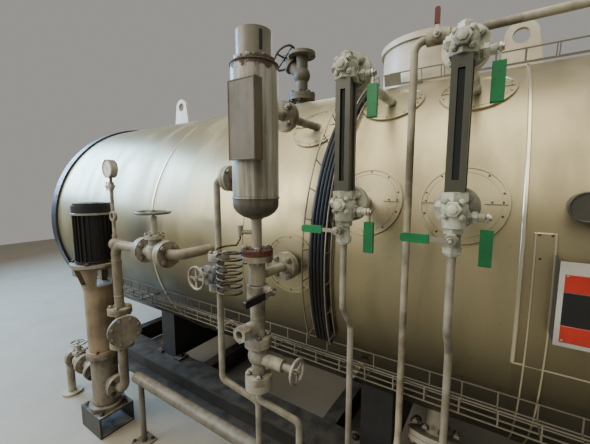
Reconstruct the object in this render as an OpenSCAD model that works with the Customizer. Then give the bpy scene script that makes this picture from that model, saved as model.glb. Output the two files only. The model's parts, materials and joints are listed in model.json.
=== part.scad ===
// Horizontal industrial steam boiler on a steel skid, with its fittings on the front side.
// Millimetres. +X runs along the shell to the right, -Y is the front, +Z is up.
// The origin is on the floor under the middle of the shell.

/* [Shell] */
// Length of the lagged shell between its end plates
shell_len = 3700; // [3600:20:4000]
// Outer radius of the sheet jacket
shell_r = 840; // [800:5:880]
// Thickness of the lagged wall
shell_wall = 100; // [60:5:130]
// Height of the shell's axis above the floor
axis_z = 1165; // [1140:5:1230]
// Thickness of each end plate
end_t = 40; // [20:2:60]
// Height of the end ring above the jacket
ring_h = 15; // [8:1:25]
// Length of the end ring over the jacket
ring_w = 45; // [25:5:80]

/* [Skid] */
// Length of the two long beams
beam_len = 3560; // [3000:20:3700]
// Height of a long beam
beam_h = 200; // [160:5:240]
// Width of a beam flange
beam_w = 180; // [140:5:200]
// Thickness of a beam flange
flange_t = 15; // [10:1:20]
// Thickness of a beam web
web_t = 10; // [6:1:14]
// Distance from the shell's centre plane to each long beam
beam_y = 580; // [540:5:620]
// Radius of an anchor hole in the bottom flange
anchor_r = 11; // [8:0.5:14]
// Distance from a beam's end to its anchor holes
anchor_inset = 130; // [60:5:300]
// Height of a cross member
cross_h = 140; // [100:5:160]
// Width of a cross member
cross_w = 80; // [50:5:120]
// Distance from the middle to the outer cross members
cross_x = 1500; // [1300:10:1600]

/* [Saddles] */
// Distance from the middle to each saddle
saddle_x = 795; // [700:5:900]
// Width of a saddle along the shell
saddle_w = 150; // [110:5:200]
// Half width of a saddle across the shell
saddle_y = 560; // [500:5:600]
// Thickness of the saddle plates
saddle_t = 14; // [8:1:20]

/* [Lifting lugs] */
// Distance from the middle to each lifting lug
lug_x = 1252; // [1150:5:1350]
// Width of a lug at its foot
lug_w = 200; // [150:5:240]
// Height of a lug above the jacket
lug_h = 240; // [180:5:280]
// Thickness of a lug
lug_t = 28; // [16:1:40]
// Radius of a lug's hole
lug_hole_r = 36; // [25:1:45]

/* [Manway] */
// Place of the manway along the shell
manway_x = 845; // [800:5:900]
// Radius of the manway's lagged neck
manway_r = 235; // [200:5:260]
// Height of the manway above the jacket
manway_h = 205; // [150:5:240]
// Thickness of the manway's cover
manway_cover_t = 28; // [16:1:40]

/* [Steam valve] */
// Place of the steam valve along the shell
steam_x = 30; // [-40:5:60]
// Radius of a steam flange
steam_flange_r = 92.5; // [85:0.5:100]
// Thickness of a steam flange
steam_flange_t = 22; // [16:1:26]
// Height of the lower steam flange above the jacket
steam_stub_h = 70; // [50:5:100]
// Length of the steam valve from face to face
steam_valve_h = 290; // [260:5:320]
// Radius of the steam valve's bore
steam_bore_r = 32.5; // [25:0.5:40]
// Radius of the bolt circle of the outlet flange
steam_pitch_r = 72.5; // [68:0.5:78]
// Radius of an outlet bolt hole
steam_hole_r = 9; // [7:0.5:11]
// Number of outlet bolt holes
steam_holes = 8; // [4:4:12]
// Radius of the steam valve's handwheel
steam_wheel_r = 100; // [80:5:110]
// Distance from the valve's middle to its handwheel
steam_stem = 205; // [190:5:230]

/* [Level gauges] */
// Place of the left gauge along the shell
gauge_left_x = 813; // [790:1:830]
// Place of the right gauge along the shell
gauge_right_x = 1118; // [1100:1:1140]
// Height of the lower gauge cocks above the shell's axis
gauge_low = 255; // [230:5:280]
// Distance between the lower and upper gauge cocks
gauge_cc = 400; // [380:5:430]
// Distance from the jacket's front to the gauge column
gauge_off = 165; // [150:5:190]
// Width of the gauge body
gauge_w = 46; // [36:1:56]
// Depth of the gauge body
gauge_d = 52; // [44:1:64]
// Width of the sight slot
slot_w = 16; // [10:1:20]
// Depth of the sight slot
slot_d = 12; // [6:1:16]
// Radius of a cock's flange
cock_flange_r = 56; // [48:1:62]
// Radius of a cock's head
head_r = 29; // [24:1:34]
// Radius of a gauge nozzle pipe
nozzle_r = 17; // [13:0.5:21]
// Distance from a gauge's middle to its side levers
lever_off = 74; // [70:1:95]
// Length of a lever's grip sleeve
grip_len = 95; // [80:5:120]
// Width of a lever's grip sleeve
grip_w = 29; // [22:1:34]
// Thickness of a lever's grip sleeve
grip_t = 13; // [9:1:16]
// Length of the bare arm before the grip
arm_len = 30; // [26:1:60]

/* [Nozzle covers] */
// Radius of a nozzle cover
cover_r = 126; // [100:1:130]
// Thickness of a nozzle cover
cover_t = 5; // [2:0.5:8]

/* [Level chamber] */
// Place of the level chamber along the shell
chamber_x = 500; // [490:1:510]
// Distance from the jacket's front to the chamber's axis
chamber_off = 214; // [206:2:230]
// Outer radius of the chamber
chamber_r = 80; // [70:0.5:86]
// Height of the chamber's lower weld above the shell's axis
chamber_low = 272; // [260:2:290]
// Length of the straight chamber above that weld
chamber_len = 438; // [420:2:460]
// Radius of the cap on the chamber
cap_r = 60; // [50:1:70]
// Height of the cap
cap_h = 88; // [70:1:110]
// Height of the upper branch above the shell's axis
branch_high = 575; // [560:1:590]
// Height of the lower branch above the shell's axis
branch_low = -14; // [-30:1:0]
// Radius of a branch pipe
branch_r = 16.85; // [13:0.25:21]
// Radius of a branch flange
branch_flange_r = 57.5; // [50:0.5:62]
// Width of the blank sign plate
sign_w = 112; // [100:1:130]
// Height of the blank sign plate
sign_h = 249; // [230:1:280]

/* [Small pipes] */
// Radius of the vent pipe
drain_r = 10.65; // [8:0.25:14]
// Radius of the sample pipe and the chamber's drain pipe
sample_r = 12.5; // [10:0.25:18]
// Radius of the gauge drain pipes
tail_r = 10.65; // [8:0.25:13]
// Place of the sample pipe along the shell
sample_x = 305; // [290:1:320]
// Radius of the sample coil at the middle of its tube
coil_r = 42; // [36:1:44]
// Radius of the coil's tube
coil_tube_r = 3.5; // [2.5:0.25:4.5]
// Number of turns in the coil
coil_turns = 7; // [5:1:8]
// Height of the drain header above the floor
header_z = 390; // [340:5:430]
// Distance from the jacket's front to the drain header
header_off = 160; // [140:5:190]
// Radius of the drain header
header_r = 30.15; // [24:0.5:36]
// Place of the vent pipe along the shell
vent_x = 983; // [970:1:996]
// Height of the vent pipe's level run above the upper gauge cocks
vent_rise = 60; // [58:1:90]
// Distance from the jacket's front to the vent pipe
vent_off = 80; // [70:1:90]

/* [Feed pump] */
// Place of the pump along the shell
pump_x = -750; // [-780:5:-720]
// Distance from the jacket's front to the pump's axis
pump_off = 195; // [180:5:220]
// Radius of the pump's motor
motor_r = 104; // [90:1:115]
// Height of the pump's motor
motor_h = 343; // [300:1:380]
// Height of the motor's foot above the floor
motor_z = 1034; // [1000:2:1060]
// Radius of the pump's column
column_r = 76; // [66:1:82]
// Radius of the pump's foot casting
foot_r = 84; // [76:1:90]
// Height of the plinth channel
plinth_h = 130; // [90:5:160]
// Distance from the pump's axis to the delivery pipe
delivery_off = 230; // [212:2:250]
// Radius of the feed pipe
feed_r = 24.15; // [20:0.25:27]
// Radius of a feed flange
feed_flange_r = 62; // [56:1:66]
// Place of the feed valve along the shell
feed_valve_x = -150; // [-190:5:-130]
// Length of the feed valve from face to face
feed_valve_len = 175; // [140:5:190]
// Radius of the feed valve's handwheel
feed_wheel_r = 80; // [65:1:85]

/* [Cable trays] */
// Width of a tray
tray_w = 100; // [80:5:120]
// Height of a tray's sides
tray_h = 54; // [44:2:60]
// Thickness of a tray's wires
wire = 4; // [3:0.5:5]
// Distance between a tray's cross wires
wire_pitch = 100; // [80:5:125]
// Number of openings across a tray
tray_cells = 3; // [2:1:4]
// Place of the riser tray along the shell
riser_x = 645; // [640:1:700]
// Number of cables in the riser tray
cables = 5; // [3:1:6]
// Radius of a cable
cable_r = 7; // [5:0.5:8]

/* [Hidden] */
$fn = 48;

// Facets on rounds as wide as the shell
shell_fn = 200;
// Clearance between a piece and the one that it seats on
seat = 0.3;
// Running clearance between a moving piece and its spindle's neighbours
run_gap = 6;
// How far a pipe's end is buried in an elbow
bury = 2;
// How much thicker an elbow is than its pipe
elbow_skin = 0.5;
// Radius of a pipe bend as a multiple of the pipe's radius
bend_ratio = 2.6;

front_y = -shell_r;
anchor_x = beam_len / 2 - anchor_inset;
top_z = axis_z + shell_r;
gauge_y = front_y - gauge_off;
drain_cock = 76;
low_z = axis_z + gauge_low;
high_z = low_z + gauge_cc;
chamber_y = front_y - chamber_off;
header_y = front_y - header_off;
vent_y = front_y - vent_off;
vent_z = high_z + vent_rise;
pump_y = front_y - pump_off;
feed_y = pump_y;
delivery_x = pump_x + delivery_off;
skid_top = beam_h;
gauges_x = [gauge_left_x, gauge_right_x];
port_off = 140;
port_z = 300;
column_z = 480;
feed_z = axis_z - 5;
feed_in_x = feed_valve_x + feed_valve_len / 2 + 72.5;
feed_stem = 190;
boss_z = feed_z + 52;
cock_z = boss_z + 260;
handle_off = 46;
suction_x = pump_x - 340;
suction_stem = 125;
small_wheel_r = 46;
drain_flange_r = 50;
pair_z = axis_z + 68;
ball_top = axis_z - 40;
ball_z = axis_z - 58;
ball_lever_x = chamber_x + 72;
test_z = ball_z - 138;
test_y = chamber_y - 100;
stack_z = axis_z - 255;
drain_foot_z = stack_z - 158;
drain_shift = 146;
drain_stem_z = stack_z - 67;
drain_wheel_x = chamber_x + 171;
branch_flange_at = 173;
sample_top = axis_z + 35;
sample_foot = axis_z - 85;
sample_flange_r = 41.5;
sample_wheel_y = chamber_y - 112;
coil_x = chamber_x - 38;
coil_y = chamber_y - 100;
coil_top = axis_z + 112;
coil_drop = 23;
port_r = 15;
cock_tip = [chamber_x - 51, chamber_y - 30, axis_z + 136];
tray_gap = -5;
tray_low = 382;
tray_rise = 12;
top_lean = 20;

// Distance from the shell's centre plane to the jacket at a height
function jacket_y(z) = sqrt(max(1, pow(shell_r, 2) - pow(z - axis_z, 2)));
// Height of the jacket's upper side at a distance from the centre plane
function jacket_top(y) = axis_z + sqrt(max(1, pow(shell_r, 2) - pow(y, 2)));
function unit(v) = v / norm(v);
function dot(a, b) = a * b;
// Length from a corner to where its bend starts
function bend_cut(a, p, b, bend) =
  let (turn = acos(max(-1, min(1, dot(unit(p - a), unit(b - p))))))
  bend * tan(turn / 2);

// Turns a piece made along +Z so that it runs from p in direction d
module placed(p, d) {
  translate(p)
    rotate([0, acos(d.z / norm(d)), atan2(d.y, d.x)])
      children();
}

module rod(p, q, r) {
  placed(p, q - p)
    cylinder(r = r, h = norm(q - p));
}

// One bend of a pipe that comes from a, turns at p and goes on to b
module elbow(a, p, b, r, bend) {
  u = unit(p - a);
  v = unit(b - p);
  turn = acos(dot(u, v));
  cut = bend * tan(turn / 2);
  middle = p + unit(v - u) * bend / cos(turn / 2);
  e1 = (p - u * cut - middle) / bend;
  e3 = cross(e1, u);
  multmatrix([
    [e1.x, u.x, e3.x, middle.x],
    [e1.y, u.y, e3.y, middle.y],
    [e1.z, u.z, e3.z, middle.z],
    [0, 0, 0, 1]
  ])
    rotate_extrude(angle = turn)
      translate([bend, 0])
        circle(r = r + elbow_skin);
}

// A pipe along a list of corner points, with round bends
module pipe_run(points, r, bend) {
  last = len(points) - 1;
  for (i = [0 : last - 1]) {
    u = unit(points[i + 1] - points[i]);
    from = i == 0 ? 0 : bend_cut(points[i - 1], points[i], points[i + 1], bend) - bury;
    to = i == last - 1 ? 0 : bend_cut(points[i], points[i + 1], points[i + 2], bend) - bury;
    rod(points[i] + u * from, points[i + 1] - u * to, r);
  }
  if (last > 1)
    for (i = [1 : last - 1])
      elbow(points[i - 1], points[i], points[i + 1], r, bend);
}

// A flat disc centred on p and square to d
module disc(p, d, r, t) {
  placed(p - unit(d) * t / 2, d)
    cylinder(r = r, h = t);
}

// Two flanges face to face, with the gasket's shadow line between them
module flange_pair(p, d, r, t) {
  gap = 2;
  for (side = [-1, 1])
    disc(p + unit(d) * side * (t + gap) / 2, d, r, t);
  disc(p, d, r * 0.72, gap + 1);
}

// Cuts away what would stand inside the jacket
module off_jacket() {
  difference() {
    children();
    translate([-shell_len / 2 - 1, 0, axis_z])
      rotate([0, 90, 0])
        cylinder(r = shell_r + seat, h = shell_len + 2, $fn = shell_fn);
  }
}

// A handwheel about its own +Z axis, with its middle at the origin
module handwheel(r, rim, hub_r, hub_h, spokes) {
  rotate_extrude()
    translate([r - rim, 0])
      circle(r = rim, $fn = 24);
  difference() {
    translate([0, 0, -hub_h / 2])
      cylinder(r = hub_r, h = hub_h);
    translate([0, 0, -hub_h / 2 - 1])
      cylinder(r = hub_r / 2, h = hub_h + 2);
  }
  for (i = [0 : spokes - 1])
    rotate([0, 0, i * 360 / spokes])
      translate([hub_r * 0.7, -rim * 0.75, -rim * 0.45])
        cube([r - rim - hub_r * 0.7, rim * 1.5, rim * 0.9]);
}

// A flat lever: eye at the origin on the +Z axis, arm and grip along +X
module lever(eye_r, pin_r, arm_w, arm_t, reach, g_len, g_w, g_t) {
  difference() {
    union() {
      translate([0, 0, -arm_t / 2])
        cylinder(r = eye_r, h = arm_t);
      translate([0, -arm_w / 2, -arm_t / 2])
        cube([reach + g_len / 2, arm_w, arm_t]);
    }
    translate([0, 0, -arm_t])
      cylinder(r = pin_r, h = arm_t * 2);
  }
  translate([reach, 0, 0])
    linear_extrude(height = g_t, center = true)
      grip_outline(g_len, g_w);
}

// Outline of a grip sleeve: square at the arm, rounded at its far end
module grip_outline(g_len, g_w) {
  corner = g_w / 3;
  translate([0, -g_w / 2])
    square([g_len - corner, g_w]);
  translate([0, -g_w / 2 + corner])
    square([g_len, g_w - 2 * corner]);
  for (side = [-1, 1])
    translate([g_len - corner, side * (g_w / 2 - corner)])
      circle(r = corner);
}

// Shell and ends
module jacket() {
  color([0.74, 0.74, 0.72])
    difference() {
      translate([-shell_len / 2, 0, axis_z])
        rotate([0, 90, 0])
          cylinder(r = shell_r, h = shell_len, $fn = shell_fn);
      translate([-shell_len / 2 - 1, 0, axis_z])
        rotate([0, 90, 0])
          cylinder(r = shell_r - shell_wall, h = shell_len + 2, $fn = shell_fn);
    }
}

module shell_end() {
  rotate([0, 90, 0]) {
    translate([0, 0, seat])
      cylinder(r = shell_r + ring_h, h = end_t, $fn = shell_fn);
    difference() {
      translate([0, 0, -ring_w])
        cylinder(r = shell_r + ring_h, h = ring_w + seat + end_t / 2, $fn = shell_fn);
      translate([0, 0, -ring_w - 1])
        cylinder(r = shell_r + seat, h = ring_w + 1 + seat, $fn = shell_fn);
    }
  }
}

module left_end() {
  color([0.12, 0.14, 0.2])
    translate([-shell_len / 2, 0, axis_z])
      mirror([1, 0, 0])
        shell_end();
}

module right_end() {
  color([0.12, 0.14, 0.2])
    translate([shell_len / 2, 0, axis_z])
      shell_end();
}

// Skid
module long_beam(side) {
  color([0.34, 0.38, 0.42])
    difference() {
      translate([-beam_len / 2, side * beam_y, 0])
        rotate([90, 0, 90])
          linear_extrude(height = beam_len) {
            translate([-beam_w / 2, 0])
              square([beam_w, flange_t]);
            translate([-beam_w / 2, beam_h - flange_t])
              square([beam_w, flange_t]);
            translate([-web_t / 2, flange_t / 2])
              square([web_t, beam_h - flange_t]);
          }
      for (x = [-anchor_x, anchor_x])
        translate([x, side * (beam_y + beam_w / 4 + web_t / 2), -1])
          cylinder(r = anchor_r, h = flange_t + 2);
    }
}

module front_beam() {
  long_beam(-1);
}

module rear_beam() {
  long_beam(1);
}

module cross_members() {
  reach = beam_y - web_t / 2 - seat;
  base = (beam_h - cross_h) / 2;
  color([0.3, 0.33, 0.37])
    for (x = [-cross_x, -cross_x / 3, cross_x / 3, cross_x])
      translate([x, 0, base])
        rotate([90, 0, 0])
          translate([0, 0, -reach])
            linear_extrude(height = 2 * reach) {
              translate([-web_t / 2, 0])
                square([web_t, cross_h]);
              for (z = [0, cross_h - web_t])
                translate([-cross_w / 2, z])
                  square([cross_w, web_t]);
            }
}

// A saddle: base plate, two webs, closing plates and the curved plate under the shell
module saddle(x) {
  base = skid_top + seat;
  high = axis_z - sqrt(pow(shell_r, 2) - pow(saddle_y, 2));
  difference() {
    translate([x - saddle_w / 2, 0, 0])
      rotate([90, 0, 90])
        linear_extrude(height = saddle_w)
          difference() {
            translate([-saddle_y, base])
              square([2 * saddle_y, high - base]);
            translate([0, axis_z])
              circle(r = shell_r + seat, $fn = shell_fn);
          }
    translate([x - saddle_w / 2 + saddle_t, 0, 0])
      rotate([90, 0, 90])
        linear_extrude(height = saddle_w - 2 * saddle_t)
          difference() {
            translate([-saddle_y + saddle_t, base + saddle_t])
              square([2 * (saddle_y - saddle_t), high - base]);
            translate([0, axis_z])
              circle(r = shell_r + seat + saddle_t, $fn = shell_fn);
          }
  }
}

module saddles() {
  color([0.16, 0.19, 0.26])
    for (x = [-saddle_x, saddle_x])
      saddle(x);
}

// On top of the shell
module lifting_lugs() {
  crown = lug_hole_r * 1.9;
  color([0.78, 0.77, 0.72])
    off_jacket()
      for (x = [-lug_x, lug_x])
        difference() {
          translate([x, lug_t / 2, top_z])
            rotate([90, 0, 0])
              linear_extrude(height = lug_t) {
                polygon([[-lug_w / 2, -lug_t], [lug_w / 2, -lug_t],
                  [crown, lug_h - crown], [-crown, lug_h - crown]]);
                translate([0, lug_h - crown])
                  circle(r = crown);
              }
          translate([x, lug_t, top_z + lug_h - crown])
            rotate([90, 0, 0])
              cylinder(r = lug_hole_r, h = 2 * lug_t);
        }
}

module manway() {
  lid_r = manway_r + 14;
  color([0.8, 0.77, 0.69]) {
    off_jacket()
      translate([manway_x, 0, axis_z])
        cylinder(r = manway_r, h = shell_r + manway_h - manway_cover_t);
    translate([manway_x, 0, top_z + manway_h - manway_cover_t])
      cylinder(r = lid_r, h = manway_cover_t);
  }
}

module steam_valve_body() {
  base = top_z + steam_stub_h;
  middle = base + steam_valve_h / 2;
  outlet = base + steam_valve_h;
  neck_r = steam_bore_r + 8;
  bulge_r = steam_bore_r * 1.75;
  stem_dir = [-0.707, 0, 0.707];
  color([0.5, 0.44, 0.36])
    difference() {
      union() {
        off_jacket()
          translate([steam_x, 0, axis_z])
            cylinder(r = neck_r, h = base - axis_z + 1);
        translate([steam_x, 0, base - steam_flange_t])
          cylinder(r = steam_flange_r, h = steam_flange_t - 1);
        translate([steam_x, 0, base])
          cylinder(r = steam_flange_r, h = steam_flange_t);
        translate([steam_x, 0, base - 2])
          cylinder(r = neck_r, h = steam_valve_h + 1);
        translate([steam_x, 0, outlet - steam_flange_t])
          cylinder(r = steam_flange_r, h = steam_flange_t);
        translate([steam_x, 0, middle])
          sphere(r = bulge_r);
        rod([steam_x, 0, middle], [steam_x, 0, middle] + stem_dir * 110, neck_r);
        disc([steam_x, 0, middle] + stem_dir * 112, stem_dir, neck_r + 16, 16);
        rod([steam_x, 0, middle], [steam_x, 0, middle] + stem_dir * 165, 20);
        rod([steam_x, 0, middle], [steam_x, 0, middle] + stem_dir * (steam_stem + 18), 9);
      }
      translate([steam_x, 0, middle])
        cylinder(r = steam_bore_r, h = steam_valve_h);
      for (i = [0 : steam_holes - 1])
        rotate_about(steam_x, i * 360 / steam_holes + 180 / steam_holes)
          translate([steam_x + steam_pitch_r, 0, outlet - steam_flange_t - 1])
            cylinder(r = steam_hole_r, h = steam_flange_t + 2);
    }
}

// Turns about a vertical line at x on the centre plane
module rotate_about(x, angle) {
  translate([x, 0, 0])
    rotate([0, 0, angle])
      translate([-x, 0, 0])
        children();
}

module steam_valve_wheel() {
  middle = top_z + steam_stub_h + steam_valve_h / 2;
  color([0.2, 0.23, 0.22])
    placed([steam_x, 0, middle] + [-0.707, 0, 0.707] * steam_stem, [-0.707, 0, 0.707])
      handwheel(steam_wheel_r, 8, 18.1, 22, 4);
}

// Fittings on the front of the jacket
module nozzle_cover(x, z, bore) {
  rise = asin((z - axis_z) / shell_r);
  difference() {
    intersection() {
      translate([x, 0, axis_z])
        rotate([90 - rise, 0, 0])
          cylinder(r = cover_r, h = shell_r * 1.2);
      translate([-shell_len / 2, 0, axis_z])
        rotate([0, 90, 0])
          cylinder(r = shell_r + seat + cover_t, h = shell_len, $fn = shell_fn);
    }
    translate([-shell_len / 2 - 1, 0, axis_z])
      rotate([0, 90, 0])
        cylinder(r = shell_r + seat, h = shell_len + 2, $fn = shell_fn);
    rod([x, -shell_r * 1.2, z], [x, 0, z], bore + seat);
  }
}

module nozzle_covers() {
  color([0.77, 0.74, 0.67]) {
    for (x = gauges_x)
      for (z = [low_z, high_z])
        nozzle_cover(x, z, nozzle_r);
    for (z = [axis_z + branch_low, axis_z + branch_high])
      nozzle_cover(chamber_x, z, branch_r);
  }
}

// Oval hand-hole cover on the front, right of the gauges
module hand_hole() {
  from_cover = 180;
  lid_r = 33;
  spread = 28;
  proud = 26;
  color([0.1, 0.1, 0.11])
    off_jacket()
      translate([gauge_right_x + cover_r + from_cover, front_y - proud, low_z + 5])
        rotate([-90, 0, 0])
          linear_extrude(height = proud + 90) {
            for (side = [-1, 1])
              translate([side * spread, 0])
                circle(r = lid_r);
            translate([-spread, -lid_r])
              square([2 * spread, 2 * lid_r]);
          }
}

// Blank name plate on its stand-off bracket
module name_plate() {
  plate_w = 210;
  plate_h = 215;
  plate_t = 5;
  stand = 75;
  from_end = 502;
  x = shell_len / 2 - from_end;
  z = axis_z - 85;
  y = front_y - stand;
  leg_t = 4;
  reach = 120;
  color([0.62, 0.62, 0.62]) {
    translate([x, y, z])
      cube([plate_w, plate_t, plate_h]);
    off_jacket()
      for (leg_x = [x, x + plate_w - leg_t])
        translate([leg_x, y + plate_t - 1, z])
          cube([leg_t, stand + reach, plate_h]);
  }
}

// Bolted blind flange low on the front of the shell
module blowdown_flange() {
  x = 1036;
  lean = 27;
  stub_r = 45;
  face = 125;
  blind_r = 118;
  blind_t = 20;
  gasket_r = 90;
  root = 40;
  color([0.8, 0.77, 0.68])
    difference() {
      translate([x, 0, axis_z])
        rotate([-lean, 0, 0]) {
          translate([0, 0, -shell_r - face])
            cylinder(r = stub_r, h = face + root);
          translate([0, 0, -shell_r - face - blind_t - 2])
            cylinder(r = blind_r, h = blind_t);
          translate([0, 0, -shell_r - face - 3])
            cylinder(r = gasket_r, h = 6);
          translate([0, 0, -shell_r - face])
            cylinder(r = blind_r, h = blind_t);
        }
      translate([-shell_len / 2 - 1, 0, axis_z])
        rotate([0, 90, 0])
          cylinder(r = shell_r + seat, h = shell_len + 2, $fn = shell_fn);
    }
}

// Level gauges
module gauge_body(x) {
  base = low_z + 42;
  height = gauge_cc - 76;
  rail = 4;
  color([0.2, 0.22, 0.22])
    translate([x, gauge_y, base])
      difference() {
        translate([-gauge_w / 2, -gauge_d / 2, 0])
          cube([gauge_w, gauge_d, height]);
        translate([-slot_w / 2, -gauge_d / 2 - 1, 30])
          cube([slot_w, slot_d + 1, height - 60]);
        for (side = [-1, 1])
          translate([side * gauge_w / 2 - rail, -gauge_d / 4, -1])
            cube([2 * rail, gauge_d / 2, height + 2]);
      }
}

module gauge_left_body() {
  gauge_body(gauge_left_x);
}

module gauge_right_body() {
  gauge_body(gauge_right_x);
}

// One gauge cock: nozzle, flange pair, plug body, head and side spindle
module gauge_cock(x, z, up) {
  root_y = front_y + shell_r / 2;
  flange_y = gauge_y + 52;
  side_z = z - 22;
  off_jacket()
    rod([x, root_y, z], [x, gauge_y + 40, z], nozzle_r);
  flange_pair([x, flange_y, z], [0, 1, 0], cock_flange_r, 15);
  rod([x, flange_y, z], [x, gauge_y, z], head_r * 0.95);
  sphere_at([x, gauge_y, z], head_r + 4);
  if (up) {
    rod([x, gauge_y, z - 34 + seat], [x, gauge_y, z + 24], head_r);
    rod([x, gauge_y, z], [x, gauge_y, z + 38], 15);
  } else {
    rod([x, gauge_y, z - 50], [x, gauge_y, z + 42 - seat], head_r);
    rod([x, gauge_y, z - 120], [x, gauge_y, z], 19);
    rod([x, gauge_y, z - drain_cock], [x, gauge_y - 46, z - drain_cock], 13);
    rod([x, gauge_y, z - drain_cock], [x, gauge_y - 62, z - drain_cock], 5);
  }
  rod([x, gauge_y + 18, side_z], [x + lever_off - run_gap, gauge_y + 18, side_z], 11);
  rod([x, gauge_y + 18, side_z], [x + lever_off + 6, gauge_y + 18, side_z], 5);
}

module sphere_at(p, r) {
  translate(p)
    sphere(r = r);
}

module gauge_cocks(x) {
  color([0.55, 0.58, 0.52]) {
    gauge_cock(x, high_z, true);
    gauge_cock(x, low_z, false);
  }
}

module gauge_left_cocks() {
  gauge_cocks(gauge_left_x);
}

module gauge_right_cocks() {
  gauge_cocks(gauge_right_x);
}

// A side lever hangs down beside its cock
module side_lever(x, z) {
  color([0.05, 0.5, 0.25])
    translate([x + lever_off, gauge_y + 18, z - 22])
      rotate([0, 90, 0])
        lever(13, 5.05, 12, 5, arm_len, grip_len, grip_t, grip_w);
}

// A drain lever points left in front of its drain cock
module drain_lever(x) {
  color([0.05, 0.5, 0.25])
    translate([x, gauge_y - 46 - run_gap - 2.5, low_z - drain_cock])
      rotate([90, 0, 0])
        rotate([0, 0, 180])
          lever(13, 5.05, 12, 5, arm_len + 18, grip_len * 0.74, grip_w * 0.8, grip_t - 2);
}

module lever_left_top() {
  side_lever(gauge_left_x, high_z);
}

module lever_left_bottom() {
  side_lever(gauge_left_x, low_z);
}

module lever_left_drain() {
  drain_lever(gauge_left_x);
}

module lever_right_top() {
  side_lever(gauge_right_x, high_z);
}

module lever_right_bottom() {
  side_lever(gauge_right_x, low_z);
}

module lever_right_drain() {
  drain_lever(gauge_right_x);
}

module gauge_drain_pipes() {
  set_back = 66;
  color([0.66, 0.62, 0.55])
    for (x = gauges_x)
      pipe_run([[x, gauge_y, low_z - 120 - seat], [x, gauge_y, low_z - 330],
        [x, header_y + set_back, low_z - 420], [x, header_y + set_back, header_z],
        [x, header_y + header_r + seat, header_z]], tail_r, tail_r * bend_ratio);
}

// Level chamber
module level_chamber() {
  z0 = axis_z + chamber_low;
  knuckle = 22;
  neck_r = 19;
  color([0.72, 0.69, 0.62])
    translate([chamber_x, chamber_y, 0]) {
      translate([0, 0, z0])
        cylinder(r = chamber_r, h = chamber_len);
      translate([0, 0, z0 - 4])
        cylinder(r = chamber_r + 2, h = 5);
      translate([0, 0, z0 - knuckle])
        cylinder(r = chamber_r, h = knuckle + 1);
      translate([0, 0, z0 - knuckle])
        scale([1, 1, 0.68])
          sphere(r = chamber_r);
      translate([0, 0, pair_z + seat / 2])
        cylinder(r = neck_r, h = z0 - pair_z - chamber_r / 2);
      translate([0, 0, pair_z + seat / 2])
        cylinder(r = branch_flange_r, h = 20);
      rod([0, 0, cock_tip.z + 12], [cock_tip.x - chamber_x, cock_tip.y - chamber_y, cock_tip.z + 12], 8);
      rod([cock_tip.x - chamber_x, cock_tip.y - chamber_y, cock_tip.z],
        [cock_tip.x - chamber_x, cock_tip.y - chamber_y, cock_tip.z + 36], 10.5);
    }
}

module chamber_cap() {
  z0 = axis_z + chamber_low + chamber_len + seat;
  color([0.42, 0.43, 0.42])
    translate([chamber_x, chamber_y, z0]) {
      cylinder(r = chamber_r - 8, h = 14);
      translate([0, 0, 13])
        cylinder(r = cap_r, h = cap_h);
    }
}

module sign_plate() {
  z = axis_z + chamber_low + 121;
  plate_t = 3;
  stand = 11;
  fold = 38;
  aside = 79;
  back_y = chamber_y - chamber_r - stand;
  color([0.68, 0.66, 0.6]) {
    translate([chamber_x + aside - sign_w, back_y - plate_t, z])
      cube([sign_w, plate_t, sign_h]);
    translate([chamber_x + aside - plate_t, back_y - plate_t, z])
      cube([plate_t, fold, sign_h]);
    for (dz = [30, sign_h - 30])
      rod([chamber_x, back_y - 1, z + dz], [chamber_x, chamber_y - chamber_r - seat, z + dz], 7);
  }
}

// A welded branch from the shell with its flange pair
module branch_pipe(z, to_y) {
  root_y = front_y + shell_r / 2;
  off_jacket()
    rod([chamber_x, root_y, z], [chamber_x, to_y, z], branch_r);
  flange_pair([chamber_x, chamber_y + branch_flange_at, z], [0, 1, 0], branch_flange_r, 15);
}

module chamber_branches() {
  high = axis_z + branch_high;
  low = axis_z + branch_low;
  color([0.6, 0.52, 0.42]) {
    branch_pipe(high, chamber_y + chamber_r + seat);
    branch_pipe(low, chamber_y);
    rod([chamber_x, chamber_y, pair_z - seat / 2 - 20], [chamber_x, chamber_y, pair_z - seat / 2],
      branch_flange_r);
    rod([chamber_x, chamber_y, ball_top + seat], [chamber_x, chamber_y, pair_z - 10], 30);
  }
}

// Ball valve and test port under the chamber
module ball_valve_body() {
  color([0.68, 0.66, 0.6])
    difference() {
      union() {
        rod([chamber_x, chamber_y, stack_z + seat], [chamber_x, chamber_y, ball_top], 27);
        rod([chamber_x, chamber_y, ball_z - 40], [chamber_x, chamber_y, ball_z + 14], 39);
        rod([chamber_x, chamber_y, stack_z + seat], [chamber_x, chamber_y, stack_z + 18],
          drain_flange_r);
        rod([chamber_x, test_y, test_z], [chamber_x, chamber_y, test_z], 24);
        placed([chamber_x, test_y, test_z], [0, 1, 0])
          cylinder(r = 31, h = 30, $fn = 6);
        rod([chamber_x, chamber_y, ball_z], [ball_lever_x - run_gap, chamber_y, ball_z], 16);
        rod([chamber_x, chamber_y, ball_z], [ball_lever_x + 9, chamber_y, ball_z], 5);
      }
      rod([chamber_x, test_y - 1, test_z], [chamber_x, chamber_y - 8, test_z], port_r);
    }
}

module ball_valve_lever() {
  color([0.06, 0.06, 0.07])
    translate([ball_lever_x, chamber_y, ball_z])
      rotate([0, 90, 0])
        rotate([0, 0, -90])
          lever(15, 5.05, 18, 5, 50, 98, 25, 11);
}

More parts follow.
